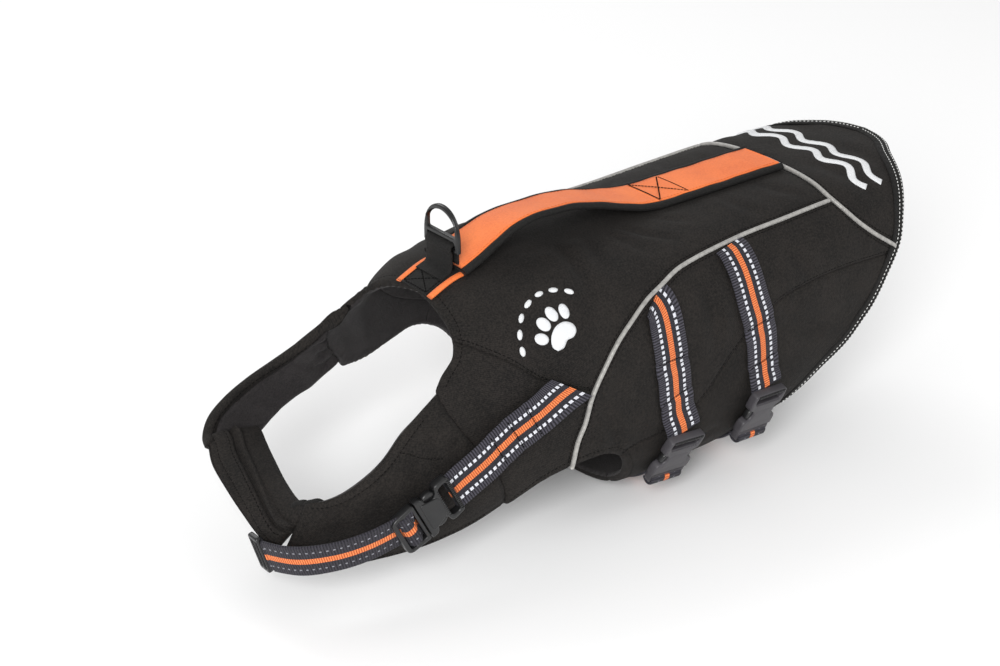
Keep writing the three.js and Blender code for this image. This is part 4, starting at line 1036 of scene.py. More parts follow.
# ------------------------------------------------------------------ piping
PIPE_HALF = 2.1
pipe_profile = [(-1.65, 0.2), (-1.5, 1.0), (-0.95, 1.75), (0, 2.1), (0.95, 1.75), (1.5, 1.0), (1.65, 0.2), (1.2, -1.0), (-1.2, -1.0)]
pipe_left = path([(x, -u) for x, u in PIPING[1:-1]] + [(193.8, -74)], 2.5)
pipe_right = path([(-62, 153.5)] + PIPING[5:-1] + [(193.8, 74)], 2.5)
for name, line in (("side_piping_left", pipe_left), ("side_piping_right", pipe_right), ("yoke_piping", path(yoke_table[1:-1], 2.5))):
    rows = hull_strip(line, pipe_profile)
    v, f = tube(rows)
    ob = build(name + "_tape", v, f, PIPE, uv=strip_uv(rows, [q[0] for q in pipe_profile]))
    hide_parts(name)

# ------------------------------------------------------------------ handle
handle_z, handle_roll = columns(HANDLE, 0, 1), columns(HANDLE, 0, 2)


def saddle(x0, x1, step, profile, arch, ripple=0.0):
    """Sections of the handle band: profile is a list of (y, height)."""
    xs = np.linspace(x0, x1, int(round((x1 - x0) / step)) + 1)
    z, roll_ = handle_z(xs), handle_roll(xs)
    slope = np.arctan((handle_z(xs + 1) - handle_z(xs - 1)) / 2)
    y = np.array([q[0] for q in profile])[None, :]
    h = np.array([q[1] for q in profile])[None, :] + ripple * np.sin(xs / 5.7)[:, None] * np.sin(xs / 17.0)[:, None] * (np.array([q[1] for q in profile])[None, :] > 3)
    half_ = np.abs(y).max()
    X = xs[:, None] - np.sin(slope)[:, None] * h
    Z = z[:, None] + np.cos(slope)[:, None] * h - arch * (y / half_) ** 2 - roll_[:, None] * y - DATUM
    return np.stack([X, np.broadcast_to(y, X.shape), Z], 2)


band_profile = [(-24.4, 2.6), (-24.0, 4.2), (-22.8, 5.4), (-21.3, 5.7), (-19.9, 5.1), (-19.2, 4.5), (-12, 4.6), (0, 4.7), (12, 4.6), (19.2, 4.5), (19.9, 5.1), (21.3, 5.7), (22.8, 5.4), (24.0, 4.2), (24.4, 2.6), (23.6, 1.1), (21.5, 0.2), (10, 0.0), (0, 0.0), (-10, 0.0), (-21.5, 0.2), (-23.6, 1.1)]
rows = saddle(-114, 193, 3.0, band_profile, 0.6, 0.12)
v, f = tube(rows)
ob = build("handle_band_cloth", v, f, BINDING, uv=strip_uv(rows, [q[0] for q in band_profile]))
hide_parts("handle_band")


def tape_profile(half_, low, high):
    n = 10
    return [(-half_, low + 0.2)] + [(-half_ + 0.4 + (2 * half_ - 0.8) * j / n, high) for j in range(n + 1)] + [(half_, low + 0.2), (half_ - 1, low), (0, low), (-half_ + 1, low)]


for name, x0, x1 in (("handle_tape", -113.4, 69.2), ("yoke_tape", 69.6, 193)):
    prof = tape_profile(19.2, 4.7, 5.5)
    rows = saddle(x0, x1, 2.5, prof, 0.4, 0.35)
    v, f = tube(rows)
    ob = build(name + "_orange", v, f, TAPE, uv=strip_uv(rows, [q[0] for q in prof]))
    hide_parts(name)


def on_tape(points, lift=5.75):
    """A line of (x, y) points on the tape, with normals, for stitches."""
    P = even(np.array(points, float), 2.0)
    xs, ys = P[:, 0], P[:, 1]
    slope = np.arctan((handle_z(xs + 1) - handle_z(xs - 1)) / 2)
    z = handle_z(xs) + np.cos(slope) * lift - 0.4 * (ys / 19) ** 2 - handle_roll(xs) * ys - DATUM
    N = np.stack([-np.sin(slope), np.zeros_like(xs), np.cos(slope)], 1)
    return np.stack([xs - np.sin(slope) * lift, ys, z], 1), N


box_lines = [on_tape(q) for q in ([(70.5, -18.3), (70.5, 18.3)], [(99, -18.3), (99, 18.3)], [(70.5, -18.3), (99, 18.3)], [(70.5, 18.3), (99, -18.3)])]
stitches("handle_box_stitches", box_lines, THREAD_BLACK, pitch=2.5, length=2.45, width=1.1, height=0.4)
edge_lines = []
for sgn in (-1, 1):
    edge_lines.append(on_tape([(-111, sgn * 17.6), (68, sgn * 17.6)], 5.65))
    edge_lines.append(on_tape([(71, sgn * 17.6), (191, sgn * 17.6)], 5.65))
stitches("tape_edge_stitches", edge_lines, thread_material("thread_orange", (0.7, 0.17, 0.05)), pitch=3.2, length=2.4, width=0.45, height=0.2)

# ------------------------------------------------------------------ front patch and lead ring
px = np.linspace(-142, -112, 16)
prof = bend_profile(15, 0.35, 1.9, 12, 0.9)
rows = hull_strip(np.stack([px, 0 * px], 1), prof)
v, f = tube(rows)
ob = build("patch_cloth", v, f, BINDING, uv=strip_uv(rows, [q[0] for q in prof]))
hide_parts("patch")
for name, u0 in (("patch_strip_left", -18), ("patch_strip_right", 18)):
    prof = [(-2.7, 0.5), (-2.4, 1.5), (-1.4, 2.05), (0, 2.2), (1.4, 2.05), (2.4, 1.5), (2.7, 0.5), (0, 0.2)]
    rows = hull_strip(np.stack([px, 0 * px + u0], 1), prof)
    v, f = tube(rows)
    ob = build(name + "_orange", v, f, TAPE, uv=strip_uv(rows, [q[0] for q in prof]))
    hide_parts(name)
cross = [[(-140.5, -13), (-126, 13)], [(-140.5, 13), (-126, -13)], [(-140.5, -13.2), (-126, -13.2)], [(-140.5, 13.2), (-126, 13.2)], [(-140.8, -13), (-140.8, 13)], [(-126, -13), (-126, 13)]]
stitches("patch_stitches", [hull_line(even(np.array(q, float), 2), 2.0) for q in cross], THREAD_BLACK, pitch=2.7, length=2.4, width=0.8, height=0.35)

# the loop: one ply over the ring's bar, both feet sewn down
c0, base = RING_Z, 14.9
arc = [(3.9 * math.cos(a), c0 + 3.9 * math.sin(a)) for a in np.linspace(math.pi * 1.2, -math.pi * 0.2, 17)]
foot = lambda k: float(place(np.array([RING_X + k]), np.array([0.0]), np.array([2.6]))[0, 2]) + DATUM
line = [(-12.5, foot(-12.5)), (-9, foot(-9)), (-6, foot(-6) + 0.1), (-4, foot(-4) + 0.9), (-3.1, foot(-3) + 3.4), (-2.9, base + 4.5)] + arc + [(2.9, base + 4.5), (3.1, base + 1.0), (4.2, base - 0.4), (6.4, base - 0.6), (9.0, base - 0.2)]
line = even(smooth(line, 160), 0.9)
t = tangents(line)
nrm = np.stack([-t[:, 1], t[:, 0]], 1)
ys = [-15, -14.7, -13.5, -7, 0, 7, 13.5, 14.7, 15]
prof = [(y, 0.8 if abs(y) < 14 else (0.55 if abs(y) < 15 else 0)) for y in ys] + [(y, -0.8) for y in (14.5, 7, 0, -7, -14.5)]
rows = np.array([[(RING_X + p[0] + n[0] * h, y, p[1] + n[1] * h - DATUM) for y, h in prof] for p, n in zip(line, nrm)])
v, f = tube(rows)
ob = build("ring_loop_webbing", v, f, BINDING, uv=strip_uv(rows, [q[0] for q in prof]))
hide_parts("ring_loop")


def plate(name, outline, holes, thick, bevel, mat, matrix, body="jacket", res=3):
    """A flat moulded part with rounded edges: outline and holes are points in millimetres."""
    cu = bpy.data.curves.new(name + "_c", "CURVE")
    cu.dimensions = "2D"
    cu.fill_mode = "BOTH"
    cu.extrude = (thick / 2 - bevel) * MM
    cu.bevel_depth = bevel * MM
    cu.bevel_resolution = res
    cu.offset = -bevel * MM
    for pts in [outline] + list(holes):
        sp = cu.splines.new("POLY")
        sp.points.add(len(pts) - 1)
        for p, q in zip(sp.points, pts):
            p.co = (q[0] * MM, q[1] * MM, 0, 1)
        sp.use_cyclic_u = True
    tmp = bpy.data.objects.new(name + "_c", cu)
    bpy.context.scene.collection.objects.link(tmp)
    dg = bpy.context.evaluated_depsgraph_get()
    me = bpy.data.meshes.new_from_object(tmp.evaluated_get(dg))
    bpy.data.objects.remove(tmp)
    me.transform(matrix)
    me.name = name
    me.materials.clear()
    me.materials.append(mat)
    bm = bmesh.new()
    bm.from_mesh(me)
    bmesh.ops.remove_doubles(bm, verts=bm.verts, dist=2e-6)
    bmesh.ops.recalc_face_normals(bm, faces=bm.faces)
    bm.to_mesh(me)
    bm.free()
    for p in me.polygons:
        p.use_smooth = True
    ob = bpy.data.objects.new(name, me)
    bpy.context.scene.collection.objects.link(ob)
    weighted = ob.modifiers.new("edges", "EDGE_SPLIT")
    weighted.split_angle = math.radians(42)
    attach(ob, body)
    return ob


def rounded(points, r, n=5):
    """A closed outline with its corners rounded."""
    P = np.array(points, float)
    out = []
    rr = r if isinstance(r, (list, tuple)) else [r] * len(P)
    for i in range(len(P)):
        a, b, c = P[i - 1], P[i], P[(i + 1) % len(P)]
        u1, u2 = (a - b) / np.linalg.norm(a - b), (c - b) / np.linalg.norm(c - b)
        d = min(rr[i], np.linalg.norm(a - b) * 0.49, np.linalg.norm(c - b) * 0.49)
        p, q = b + u1 * d, b + u2 * d
        for k in range(n + 1):
            t_ = k / n
            out.append((1 - t_) ** 2 * p + 2 * t_ * (1 - t_) * b + t_**2 * q)
    return [tuple(p) for p in out]


half, height, bnd, barh, slot_h, crossbar = 19.6, 29.0, 4.4, 4.0, 5.4, 4.2


def bezier(p0, p1, p2, p3, n=14):
    t_ = np.linspace(0, 1, n + 1)[:, None]
    p0, p1, p2, p3 = (np.array(p, float) for p in (p0, p1, p2, p3))
    return (1 - t_) ** 3 * p0 + 3 * t_ * (1 - t_) ** 2 * p1 + 3 * t_**2 * (1 - t_) * p2 + t_**3 * p3


def d_outline(s_, low, high):
    w_, h_ = half - s_, high - s_
    a = bezier((w_, low + 7), (w_, h_ * 0.72), (w_ * 0.55, h_), (0, h_))
    b = bezier((0, h_), (-w_ * 0.55, h_), (-w_, h_ * 0.72), (-w_, low + 7))
    return [(-w_, low), (w_, low)] + [tuple(p) for p in a] + [tuple(p) for p in b[1:]]


outer_d = d_outline(0, -barh / 2, height)
hole_d = rounded(d_outline(bnd - 0.9, slot_h + crossbar - 0.7, height), 1.2, 2)
slot_d = rounded([(-half + bnd, barh / 2), (-half + bnd, slot_h), (half - bnd, slot_h), (half - bnd, barh / 2)], 0.9, 3)
# local x across the jacket, local y up, thickness along x of the frame
ring_matrix = Matrix(((0, 0, 1, RING_X * MM), (1, 0, 0, 0), (0, 1, 0, (RING_Z - DATUM) * MM), (0, 0, 0, 1)))
ring = plate("lead_ring_plastic", outer_d, [hole_d, slot_d], 3.9, 1.1, RING_BLACK, ring_matrix, body="lead_ring")
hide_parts("d_ring")

# ------------------------------------------------------------------ webbing
WEB_HALF = 15.0


def hull_webbing(name, P, mat, cad, tacks=(), width=WEB_HALF, slope=0.0, lift=0.0):
    prof = bend_profile(width, 0.9, 2.7, 14, 0.8)
    go = np.concatenate([[0], np.cumsum(np.linalg.norm(np.diff(P, axis=0), axis=1))])
    wob = 0.3 * np.sin(go / 9.5)
    for i_, at_ in enumerate(tacks):
        wob += (0.9 if i_ % 2 else -0.7) * np.exp(-(((go - at_ - 3) / 4.5) ** 2))
    t2 = tangents(P)
    P = P + np.stack([-t2[:, 1], t2[:, 0]], 1) * wob[:, None]
    rows = hull_strip(P, prof)
    n = normal(P[:, 0], P[:, 1])
    L = np.concatenate([[0], np.cumsum(np.linalg.norm(np.diff(rows.mean(1), axis=0), axis=1))])
    sag = np.zeros(len(P))
    for at_ in tacks:
        sag -= 0.7 * np.exp(-(((L - at_) / 1.6) ** 2))
    sag += 0.22 * np.sin(L / 9.0) * np.sin(L / 23.0) - 1.7 * np.clip(1 - L / 5, 0, 1)
    rise = np.clip((L - L[-1] + 17) / 17, 0, 1)
    sag += lift * rise * rise * (3 - 2 * rise)
    rows = rows + n[:, None, :] * sag[:, None, None]
    if slope:  # the sewn end follows the seam that it goes into
        s_ = np.array([q[0] for q in prof])
        t3 = np.gradient(rows.mean(1), axis=0)
        t3 /= np.linalg.norm(t3, axis=1, keepdims=True)
        fade = np.clip(1 - L / 26, 0, 1)
        rows = rows + t3[:, None, :] * (fade[:, None] * s_[None, :] * slope)[..., None]
    v_, f_ = tube(rows)
    ob_ = build(name, v_, f_, mat, uv=strip_uv(rows, [q[0] for q in prof]))
    if cad:
        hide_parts(cad)
    return ob_, rows, n, L


def across_lines(rows, n, L, at_, reach=13.0, lift=0.15):
    """A sewn line across webbing at a distance along it."""
    i = int(np.argmin(np.abs(L - at_)))
    mid_top = rows[i, 2:-5]
    a, b = mid_top[0], mid_top[-1]
    k = np.linspace(0.5 - reach / 30, 0.5 + reach / 30, 12)[:, None]
    q = np.array([np.array([np.interp(t_, np.linspace(0, 1, len(mid_top)), mid_top[:, c]) for c in range(3)]) for t_ in k[:, 0]])
    nn = np.repeat(n[i][None, :], len(q), 0)
    return q + nn * lift, nn


BUCKLE_LEN = 24 + 0.4 + 16
tack_lines = []
for name, table, tacks in (("belly_strap_front", [(3.2, 98)] + BELLY_FRONT, (50, 80)), ("belly_strap_rear", [(86.3, 79.5)] + BELLY_REAR, (66, 98))):
    P = flip(path(table[:-1] + [(table[-1][0] - 0.8, table[-1][1] - 2.0)], 2.0))
    ob, rows, n, L = hull_webbing(name + "_left_webbing", P, WEB_FACE, name + "_left", tacks, slope=-0.5 if name.endswith("front") else -0.1, lift=4.4)
    for at_ in tacks:
        tack_lines.append(across_lines(rows, n, L, at_))
    end = table[-1]
    W = float(whole(end[0]))
    far = list(table) + [(end[0] + 2, W * 0.75), (end[0] + 3, W * 0.9), (end[0] + 3, W), (end[0] + 3, W * 1.1), (end[0] + 3, 2 * W - end[1] - BUCKLE_LEN - 2.6)]
    P = path(far, 2.5)
    _, rows, n, L = hull_webbing(name + "_right_webbing", P, WEB_FACE, name + "_right", (52, 84), slope=0.5 if name.endswith("front") else 0.1)
    for at_ in (52, 84):
        tack_lines.append(across_lines(rows, n, L, at_))


def free_webbing(name, table, half_, thick, mat, cad, tacks=(), cut=0.0, ripple=0.0):
    T = np.array(table, float)
    dense_ = smooth(T, 60 * (len(T) - 1))
    L0 = np.concatenate([[0], np.cumsum(np.linalg.norm(np.diff(dense_[:, :3], axis=0), axis=1))])
    n_ = int(L0[-1] / 1.8)
    s_ = np.linspace(0, L0[-1], n_ + 1)
    D = np.stack([np.interp(s_, L0, dense_[:, k]) for k in range(6)], 1)
    C, F = D[:, :3].copy(), D[:, 3:]
    t_ = tangents(C)
    F = F - (F * t_).sum(1, keepdims=True) * t_
    F /= np.linalg.norm(F, axis=1, keepdims=True)
    w_ = np.cross(t_, F)
    sag = np.zeros(len(C))
    for a in tacks:
        sag -= 0.7 * np.exp(-(((s_ - a) / 1.7) ** 2))
    wob = ripple * np.sin(s_ / 8.0 + 0.8)
    prof = bend_profile(half_, 0.0, thick - 0.1, 14, 0.8)
    a_ = np.array([q[0] for q in prof])[None, :, None]
    h_ = np.array([q[1] for q in prof])[None, :, None]
    fade = np.clip(1 - s_ / 30, 0, 1)[:, None, None]
    rows = C[:, None, :] + w_[:, None, :] * (a_ + (wob * 0.8)[:, None, None]) + F[:, None, :] * (h_ + sag[:, None, None]) + t_[:, None, :] * (fade * a_ * cut)
    rows[..., 2] -= DATUM
    v_, f_ = tube(rows)
    ob_ = build(name, v_, f_, mat, uv=strip_uv(rows, [q[0] for q in prof]))
    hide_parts(cad)
    return rows, F, s_


rows, n, L = free_webbing("chest_strap_webbing", CHEST_STRAP, 15.0, 2.0, WEB_FACE, "chest_strap", (36, 53, 68), cut=0.75, ripple=0.7)
for at_ in (36, 53, 68):
    tack_lines.append(across_lines(rows, n, L, at_))
free_webbing("chest_strap_front_webbing", CHEST_FRONT, 13.6, 1.9, WEB_BACK, "chest_strap_front", ripple=0.3)
stitches("strap_tack_stitches", tack_lines, THREAD_BLACK, pitch=1.9, length=1.7, width=0.85, height=0.4)


# ------------------------------------------------------------------ buckles
def frame_of(p, along, across):
    x_ = Vector(along).normalized()
    z_ = x_.cross(Vector(across)).normalized()
    y_ = z_.cross(x_).normalized()
    m_ = Matrix.Identity(4)
    for i, a in enumerate((x_, y_, z_)):
        for j in range(3):
            m_[j][i] = a[j]
    m_.translation = Vector((p[0], p[1], p[2])) * MM
    return m_


def shift(m_, x_=0, y_=0, z_=0):
    return m_ @ Matrix.Translation(Vector((x_, y_, z_)) * MM)


def mirror_y(pts):
    return pts + [(x_, -y_) for x_, y_ in reversed(pts)]


def joined(name, objs):
    """One object from several, riding on the jacket."""
    bpy.context.view_layer.update()
    dg = bpy.context.evaluated_depsgraph_get()
    bm = bmesh.new()
    mats = []
    for ob_ in objs:
        me = bpy.data.meshes.new_from_object(ob_.evaluated_get(dg))
        me.transform(ob_.matrix_world)
        base_ = len(mats)
        mats += [m_ for m_ in me.materials]
        for p in me.polygons:
            p.material_index += base_
        bm.from_mesh(me)
        bpy.data.meshes.remove(me)
    me = bpy.data.meshes.new(name)
    bm.to_mesh(me)
    bm.free()
    for m_ in mats:
        me.materials.append(m_)
    for ob_ in objs:
        bpy.data.objects.remove(ob_)
    ob_ = bpy.data.objects.new(name, me)
    bpy.context.scene.collection.objects.link(ob_)
    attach(ob_, "jacket")
    return ob_


def webbing_scrap(name, m_, line_, half_, mat, thick=1.7):
    """Webbing bent round a bar, in the buckle's own frame: line_ is (x, z)."""
    P = even(smooth(line_, 90), 0.7)
    t_ = tangents(P)
    n_ = np.stack([-t_[:, 1], t_[:, 0]], 1)
    prof = [(y, h - thick) for y, h in bend_profile(half_, 0, thick, 14, 0.7)]
    rows_ = np.array([[(p[0] + n[0] * o_, y_, p[1] + n[1] * o_) for y_, o_ in prof] for p, n in zip(P, n_)])
    R3 = np.array(m_.to_3x3())
    T3 = np.array(m_.translation) / MM
    rows_ = rows_ @ R3.T + T3
    v_, f_ = tube(rows_)
    ob_ = build(name, v_, f_, mat, uv=strip_uv(rows_, [q[0] for q in prof]))
    return ob_


def buckle(name, m_, mat, level):
    upper = [(-20.2, 15.2), (-19.4, 16.9), (-16.5, 17.6), (-12.4, 17.9), (-10.8, 17.3), (-10.0, 15.2), (-9.2, 12.0), (-7.2, 9.9), (-4.6, 9.9), (-2.4, 11.8), (-1.6, 15.0), (-0.4, 17.2), (1.2, 17.9), (3.8, 18.0)]
    deep = level < -4
    if deep:
        upper = [(-20.2, 15.2), (-19.4, 16.9), (-16.5, 17.6), (-9.4, 17.6), (-7.6, 17.0), (-6.6, 15.2), (-5.6, 12.6), (-3.6, 11.2), (-1.0, 11.2), (1.2, 12.8), (2.2, 15.4), (3.6, 17.4), (5.6, 18.2), (9.6, 18.3), (12.0, 17.9)]
    up = [tuple(p) for p in smooth(upper, 40)]
    outline = mirror_y(up)
    slot_hole = rounded([(-17.7, -14.6), (-17.7, 14.6), (-11.9, 14.0), (-11.9, -14.0)], 2.2, 4)
    a = plate(name + "_socket_shell", outline, [slot_hole], 7.0, 1.2, mat, m_)
    # raised middle field and a rib beside the mouth
    field = rounded([(-9.9, -8.8), (-9.9, 8.8), (1.6, 13.4), (1.6, -13.4)], 3.0, 5)
    b = plate(name + "_socket_field", field, [], 1.4, 0.5, mat, shift(m_, 4.5 if deep else 0, 0, 2.9 if deep else 3.4))
    edge_ = [plate(name + f"_socket_grip{i}", rounded([(-20.0, y_ - 0.5), (-20.0, y_ + 0.5), (-17.9, y_ + 0.5), (-17.9, y_ - 0.5)], 0.3, 2), [], 1.6, 0.4, BUCKLE_BLACK, shift(m_, 0, 0, 3.5)) for i, y_ in enumerate(np.arange(-14, 14.1, 1.75))]
    ribs_ = edge_ + [plate(name + f"_socket_rib{i}", rounded([(-11.6, y_ - 0.45), (-11.6, y_ + 0.45), (-10.5, y_ + 0.45), (-10.5, y_ - 0.45)], 0.3, 2), [], 1.2, 0.35, mat, shift(m_, 0, 0, 3.3)) for i, y_ in enumerate(np.arange(-12, 12.1, 2.0))]
    s_ = joined(name + "_socket_plastic", [a, b] + ribs_)
    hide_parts(name + "_socket")
    # plug: frame with two slots, and the prongs that show in the socket's notches
    frame_o = rounded([(4.3, -17.6), (4.3, 17.6), (20.2, 16.6), (20.2, -16.6)], [2.0, 2.0, 4.5, 4.5], 5)
    h1 = rounded([(6.6, -14.0), (6.6, 14.0), (10.6, 14.0), (10.6, -14.0)], 0.9, 3)
    h2 = rounded([(13.2, -14.0), (13.2, 14.0), (17.4, 13.7), (17.4, -13.7)], 0.9, 3)
    holes_ = [h1, h2]
    if deep:
        frame_o = rounded([(12.3, -17.2), (12.3, 17.2), (20.4, 16.6), (20.4, -16.6)], [1.0, 1.0, 4.0, 4.0], 5)
        holes_ = [rounded([(13.9, -15.6), (13.9, 15.6), (17.0, 15.4), (17.0, -15.4)], 0.9, 3)]
    parts = [plate(name + "_plug_frame", frame_o, holes_, 6.2, 1.1, mat, m_)]
    for sg in (-1, 1):
        prong = [(-10.0, 11.6), (-9.4, 13.6), (-7.4, 15.4), (-4.8, 15.9), (-2.4, 15.2), (-1.0, 13.0), (-2.0, 10.9), (-6.0, 9.4)]
        q = [(x_, sg * y_) for x_, y_ in smooth(prong + prong[:1], 32)[:-1]]
        parts.append(plate(name + f"_prong_{'a' if sg < 0 else 'b'}", q, [], 4.6, 1.2, BUCKLE_BLACK, shift(m_, 3.6 if deep else 0, 0, -0.4)))
    p_ = joined(name + "_plug_plastic", parts)
    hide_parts(name + "_plug")
    if not deep:
        webbing_scrap(name + "_plug_webbing", m_, [(5.6, -2.6), (7.6, -0.2), (9.6, 2.9), (12.2, 3.6), (14.8, 2.9), (16.4, 0.2), (18.2, -2.6)], 13.4, WEB_BACK)
    else:
        webbing_scrap(name + "_plug_webbing", m_, [(14.6, -3.0), (14.7, 0.8), (15.0, 3.7), (17.0, 5.0), (19.8, 4.7), (21.8, 2.4), (22.0, -1.8), (20.4, -4.8)], 15.3, WEB_BACK)


chest_m = frame_of((-199.5, -95.8, -113 - DATUM), (-38, 3, -20), (24, 0, -33))
buckle("chest_buckle", shift(chest_m, 4.6) @ Matrix.Diagonal((1.24, 1, 1.05, 1)), BUCKLE_BLACK, -1.6)
for name, table in (("belly_buckle_front", BELLY_FRONT), ("belly_buckle_rear", BELLY_REAR)):
    end = table[-1]
    mid = end[1] + 1.2 + BUCKLE_LEN / 2
    x_ = end[0] - 5
    at_ = place(np.array([x_]), np.array([-mid]), np.array([0.5 + 3 + 7.5 / 2]))[0]
    P3 = lambda a, b: lookup(GRID, a, b)
    along = P3(x_ - 5, -mid - 20) - P3(x_, -mid + 20)
    acr = P3(x_ + 10, -mid) - P3(x_ - 10, -mid)
    buckle(name, shift(frame_of(at_, along, acr), -2.6) @ Matrix.Diagonal((1.14, 1, 1, 1)), BUCKLE_GREY, -4.6)

# slider at the front end of the chest strap
slider_m = frame_of((-294, -28.5, -143 - DATUM), (0, 1, 0), (0.3, 0, -0.95))
a = plate("slider_frame", rounded([(-6, -16), (-6, 16), (6, 16), (6, -16)], 2.5, 5), [rounded([(-3.9, -12.6), (-3.9, 12.6), (-0.9, 12.6), (-0.9, -12.6)], 0.8, 3), rounded([(0.9, -12.6), (0.9, 12.6), (3.9, 12.6), (3.9, -12.6)], 0.8, 3)], 4.0, 1.1, BUCKLE_BLACK, slider_m)
sl = joined("front_slider_plastic", [a])
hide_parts("front_slider")
webbing_scrap("front_slider_webbing", slider_m, [(-9.5, -0.4), (-6.5, 0.6), (-3.4, -1.6), (0, -2.4)], 12.2, WEB_BACK)


# ------------------------------------------------------------------ sewn lines on the panels
def inside_wall(P, margin=1.0):
    share = share_of(P)
    return (P[:, 0] > front_at(np.clip(share, 0, 1)) + margin) & (P[:, 0] < hem_at(np.clip(share, 0, 1)) - margin)


def off_at(P, lift=0.1):
    _, k = near(P, V2, 60)
    return outer_off[k] + lift


def sewn(L, s_):
    """Pieces of a stitched line beside L that lie on cloth."""
    P = beside(L, s_)
    ok = inside_wall(P)
    for leg, sg in ((leg_l, -1), (leg_r, 1)):
        lx = leg[:, 0]
        lim = np.interp(P[:, 0], lx, np.abs(leg[:, 1]), left=999, right=999)
        ok &= ~((np.sign(P[:, 1]) == sg) & (P[:, 0] < -9) & (np.abs(P[:, 1]) > lim - 1))
    out, run = [], []
    for p, g in zip(P, ok):
        if g:
            run.append(p)
        if (not g or p is P[-1]) and len(run) > 4:
            out.append(np.array(run))
        if not g:
            run = []
    if len(run) > 4 and (not out or len(out[-1]) != len(run)):
        out.append(np.array(run))
    return [hull_line(q, off_at(q)) for q in out]


black_lines = []
for L in (shoulder_line, flip(shoulder_line)):
    black_lines += sewn(L, 1.9)
for L in (side_line, flip(side_line)):
    black_lines += sewn(L, 2.4)
black_lines += sewn(belly_line, 2.6) + sewn(flip(belly_line), 2.6)
for L, s_ in ((front_l, -6.0), (front_r, 6.0)):
    q = L[share_of(L) < 0.3]
    black_lines += sewn(q, s_) + sewn(q, -s_)
for leg in (leg_l, leg_r):
    black_lines += sewn(leg, 6.0) + sewn(leg, -6.0)
for sgn in (-1, 1):
    black_lines += sewn(yoke_line, 4.2 * sgn)
    black_lines += sewn(piping_line, 4.0 * sgn) + sewn(flip(piping_line), 4.0 * sgn)
stitches("panel_stitches", black_lines, THREAD_BLACK, pitch=3.3, length=2.4, width=0.5, height=0.28)

def roll_of_cloth(verts, faces, uv, points, radius, squash=0.95):
    """A soft pinched fold of cloth along a few points."""
    P = even(smooth(points, 40), 1.2)
    P = P - np.array([0, 0, DATUM])
    t_ = tangents(P)
    ref = np.array([0.3, 0.2, 1.0])
    n1 = ref - (t_ @ ref)[:, None] * t_
    n1 /= np.linalg.norm(n1, axis=1, keepdims=True)
    n2 = np.cross(t_, n1)
    f_ = np.linspace(0, 1, len(P))
    r_ = radius * np.sin(np.pi * np.clip(f_, 0.03, 0.97)) ** 0.4 * (1 + 0.12 * np.sin(9 * f_))
    a_ = np.linspace(0, 2 * np.pi, 14, endpoint=False)
    rows_ = P[:, None, :] + r_[:, None, None] * (np.cos(a_)[None, :, None] * n1[:, None, :] * squash + np.sin(a_)[None, :, None] * n2[:, None, :])
    v_, q_ = tube(rows_)
    base_ = len(verts)
    verts += list(v_)
    faces += [tuple(base_ + i for i in q) for q in q_]
    uv += [tuple(q) for q in strip_uv(rows_, a_ * radius)]


rolls, roll_faces, roll_uv = [], [], []
for points, radius in (
    ([(-266, -49, -106.8), (-269, -44, -107.2), (-274, -38, -110.5)], 3.6),
    ([(-260, -57, -102.6), (-265, -53, -103.3), (-270, -47, -106.5)], 3.1),
    ([(-256, -61, -102), (-251, -65, -99.5), (-247, -68, -97)], 2.3),
    ([(-243.5, 48, -103.6), (-247, 51.5, -103), (-253, 55, -102)], 3.0),
    ([(-243.5, 42, -104.6), (-246.5, 44.5, -103.8), (-251, 47, -103)], 2.4),
    ([(-240.5, 54, -104.5), (-244, 57, -104.2), (-249, 59, -102.6)], 2.2),
):
    roll_of_cloth(rolls, roll_faces, roll_uv, points, radius)
corner = build("neck_corner_folds", rolls, roll_faces, BINDING, uv=roll_uv)

band_lines = []
for pts, w_, cols_ in ((chest_out, chest_w, (5, -6)), (right_in, -right_w, (-8,)), (flap_out, flap_w, (29, 37))):
    for c in cols_:
        band_lines.append((pts[4:-3, c] + w_[4:-3, c] * 0.12, w_[4:-3, c]))
ri = np.round(np.linspace(13, 5, 18)).astype(int)
ci = np.arange(6, 24)
band_lines.append((chest_out[ri, ci] + chest_w[ri, ci] * 0.25, chest_w[ri, ci]))
stitches("band_stitches", band_lines, THREAD_BLACK, pitch=3.3, length=2.4, width=0.55, height=0.3)


